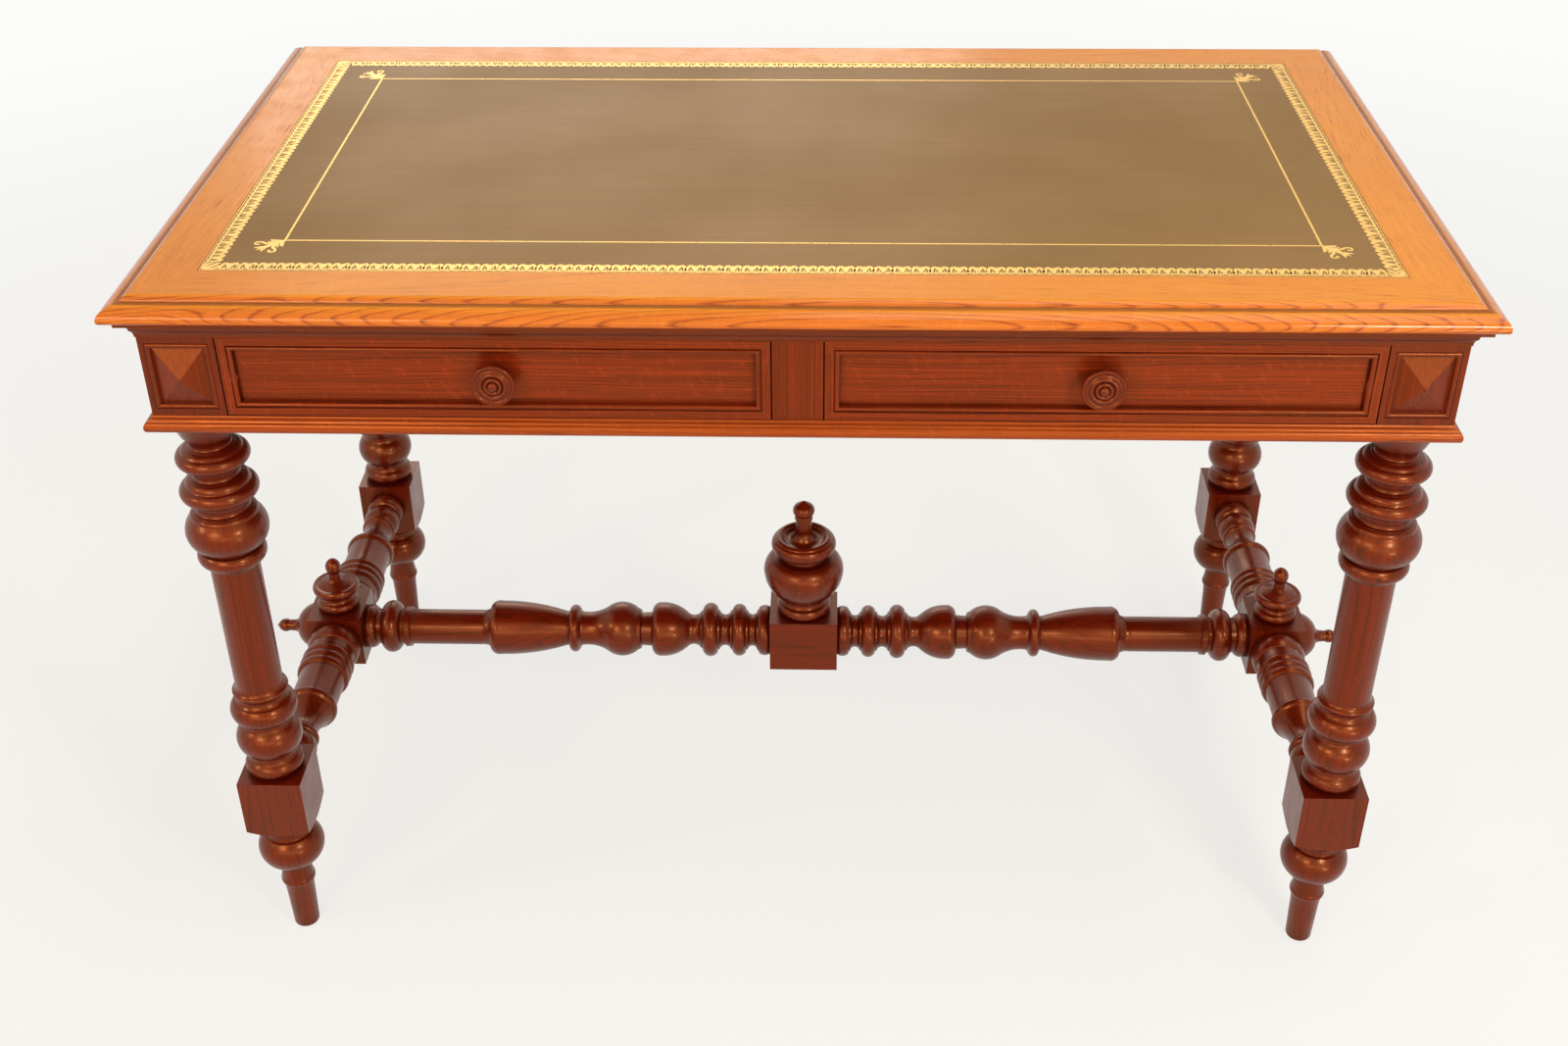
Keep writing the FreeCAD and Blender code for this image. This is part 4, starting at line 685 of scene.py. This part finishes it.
for side in ("left", "right"):
    low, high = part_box(f"{side}_drawer_front_moulding")
    middle_x, middle_z = (low[0] + high[0]) / 2, (low[2] + high[2]) / 2
    field = (middle_x, middle_z, high[0] - middle_x - MOULDING_WIDE, high[2] - middle_z - MOULDING_WIDE)
    front = polished_oak(f"red_oak_{side}_drawer_front", FRONT, FRONT_DARK, "x", FRONT_HEARTS[side], field=field,
                         **FRONT_OAK)
    knob = polished_oak(f"red_oak_{side}_knob", KNOB, KNOB_DARK, "y", KNOB_HEARTS[side], **KNOB_OAK)
    finished(f"{side}_drawer_front", front, FRIEZE_ARRIS)
    finished(f"{side}_drawer_front_moulding", front, FIELD_ARRIS)
    finished(f"{side}_drawer_knob", knob)
    for piece in ("outer_side", "inner_side", "bottom", "back"):
        finished(f"{side}_drawer_{piece}", lining, LINING_ARRIS)


# The legs: each turned from one length of oak, square at the drawer frame and where the side stretcher enters,
# stained dark red brown. Many coats of polish give them golden highlights on a nearly black red.
LEG, LEG_DARK = "#701806", "#240602"
TURNED = {"ring": 0.005, "shine": 0.3, "contrast": 0.5, "strands": 0.9, "gleam": 0.9, "coat": 0.12,
          "hollows": 0.03}
LEG_LEAN = 0.02
LEG_HEARTS = {"front_left": (-0.56, -0.33, 0), "front_right": (0.50, -0.24, 0), "rear_left": (-0.49, 0.33, 0),
              "rear_right": (0.57, 0.25, 0)}
for corner, heart in LEG_HEARTS.items():
    leg = polished_oak(f"turned_red_oak_leg_{corner}", LEG, LEG_DARK, "z", heart, lean=LEG_LEAN, **TURNED)
    finished(f"leg_{corner}", leg)


# The stretchers, finials and end caps: turned from the same oak and polished with the legs, the stretchers
# square in the middle.
LONG_LEAN, SIDE_LEAN = 0.012, 0.02
SIDE_HEARTS = {"left": (-0.57, 0, 0.15), "right": (0.58, 0, 0.15)}
long_oak = polished_oak("turned_red_oak_long_stretcher", LEG, LEG_DARK, "x", (0, 0.05, 0.14), lean=LONG_LEAN,
                        **TURNED)
for name in ("long_stretcher", "left_end_cap", "right_end_cap"):
    finished(name, long_oak)
for side, heart in SIDE_HEARTS.items():
    side_oak = polished_oak(f"turned_red_oak_side_stretcher_{side}", LEG, LEG_DARK, "y", heart, lean=SIDE_LEAN,
                            **TURNED)
    finished(f"side_stretcher_{side}", side_oak)
finial_oak = polished_oak("turned_red_oak_finials", LEG, LEG_DARK, "z", (0.04, 0.05, 0.3), **TURNED)
for name in ("centre_finial", "left_finial", "right_finial"):
    finished(name, finial_oak)


# Out of sight: the panel under the leather, the buttons that hold the top, runners, guides, kickers and stops in
# planed oak, and steel screws, dull grey with fine scuffs 1 mm wide.
STEEL, SCREW_ROUGH, SCUFFS = "#8E8C88", (0.28, 0.5), 900.0
for name in ("top_panel", "top_buttons", "drawer_runners", "drawer_kickers", "drawer_guides", "drawer_stops"):
    finished(name, lining)
steel, tree, output = new_material("steel_screws")
place = node(tree, "ShaderNodeTexCoord").outputs["Object"]
dulled = node(tree, "ShaderNodeTexNoise", {"Vector": place, "Scale": SCUFFS, "Detail": 2.0})
rough = node(tree, "ShaderNodeMapRange", {"Value": dulled.outputs[0], "To Min": SCREW_ROUGH[0],
                                         "To Max": SCREW_ROUGH[1]})
shader = node(tree, "ShaderNodeBsdfPrincipled",
              {"Base Color": linear(STEEL), "Metallic": 1.0, "Roughness": rough.outputs[0]})
tree.links.new(shader.outputs[0], output.inputs[0])
finished("button_screws", steel)
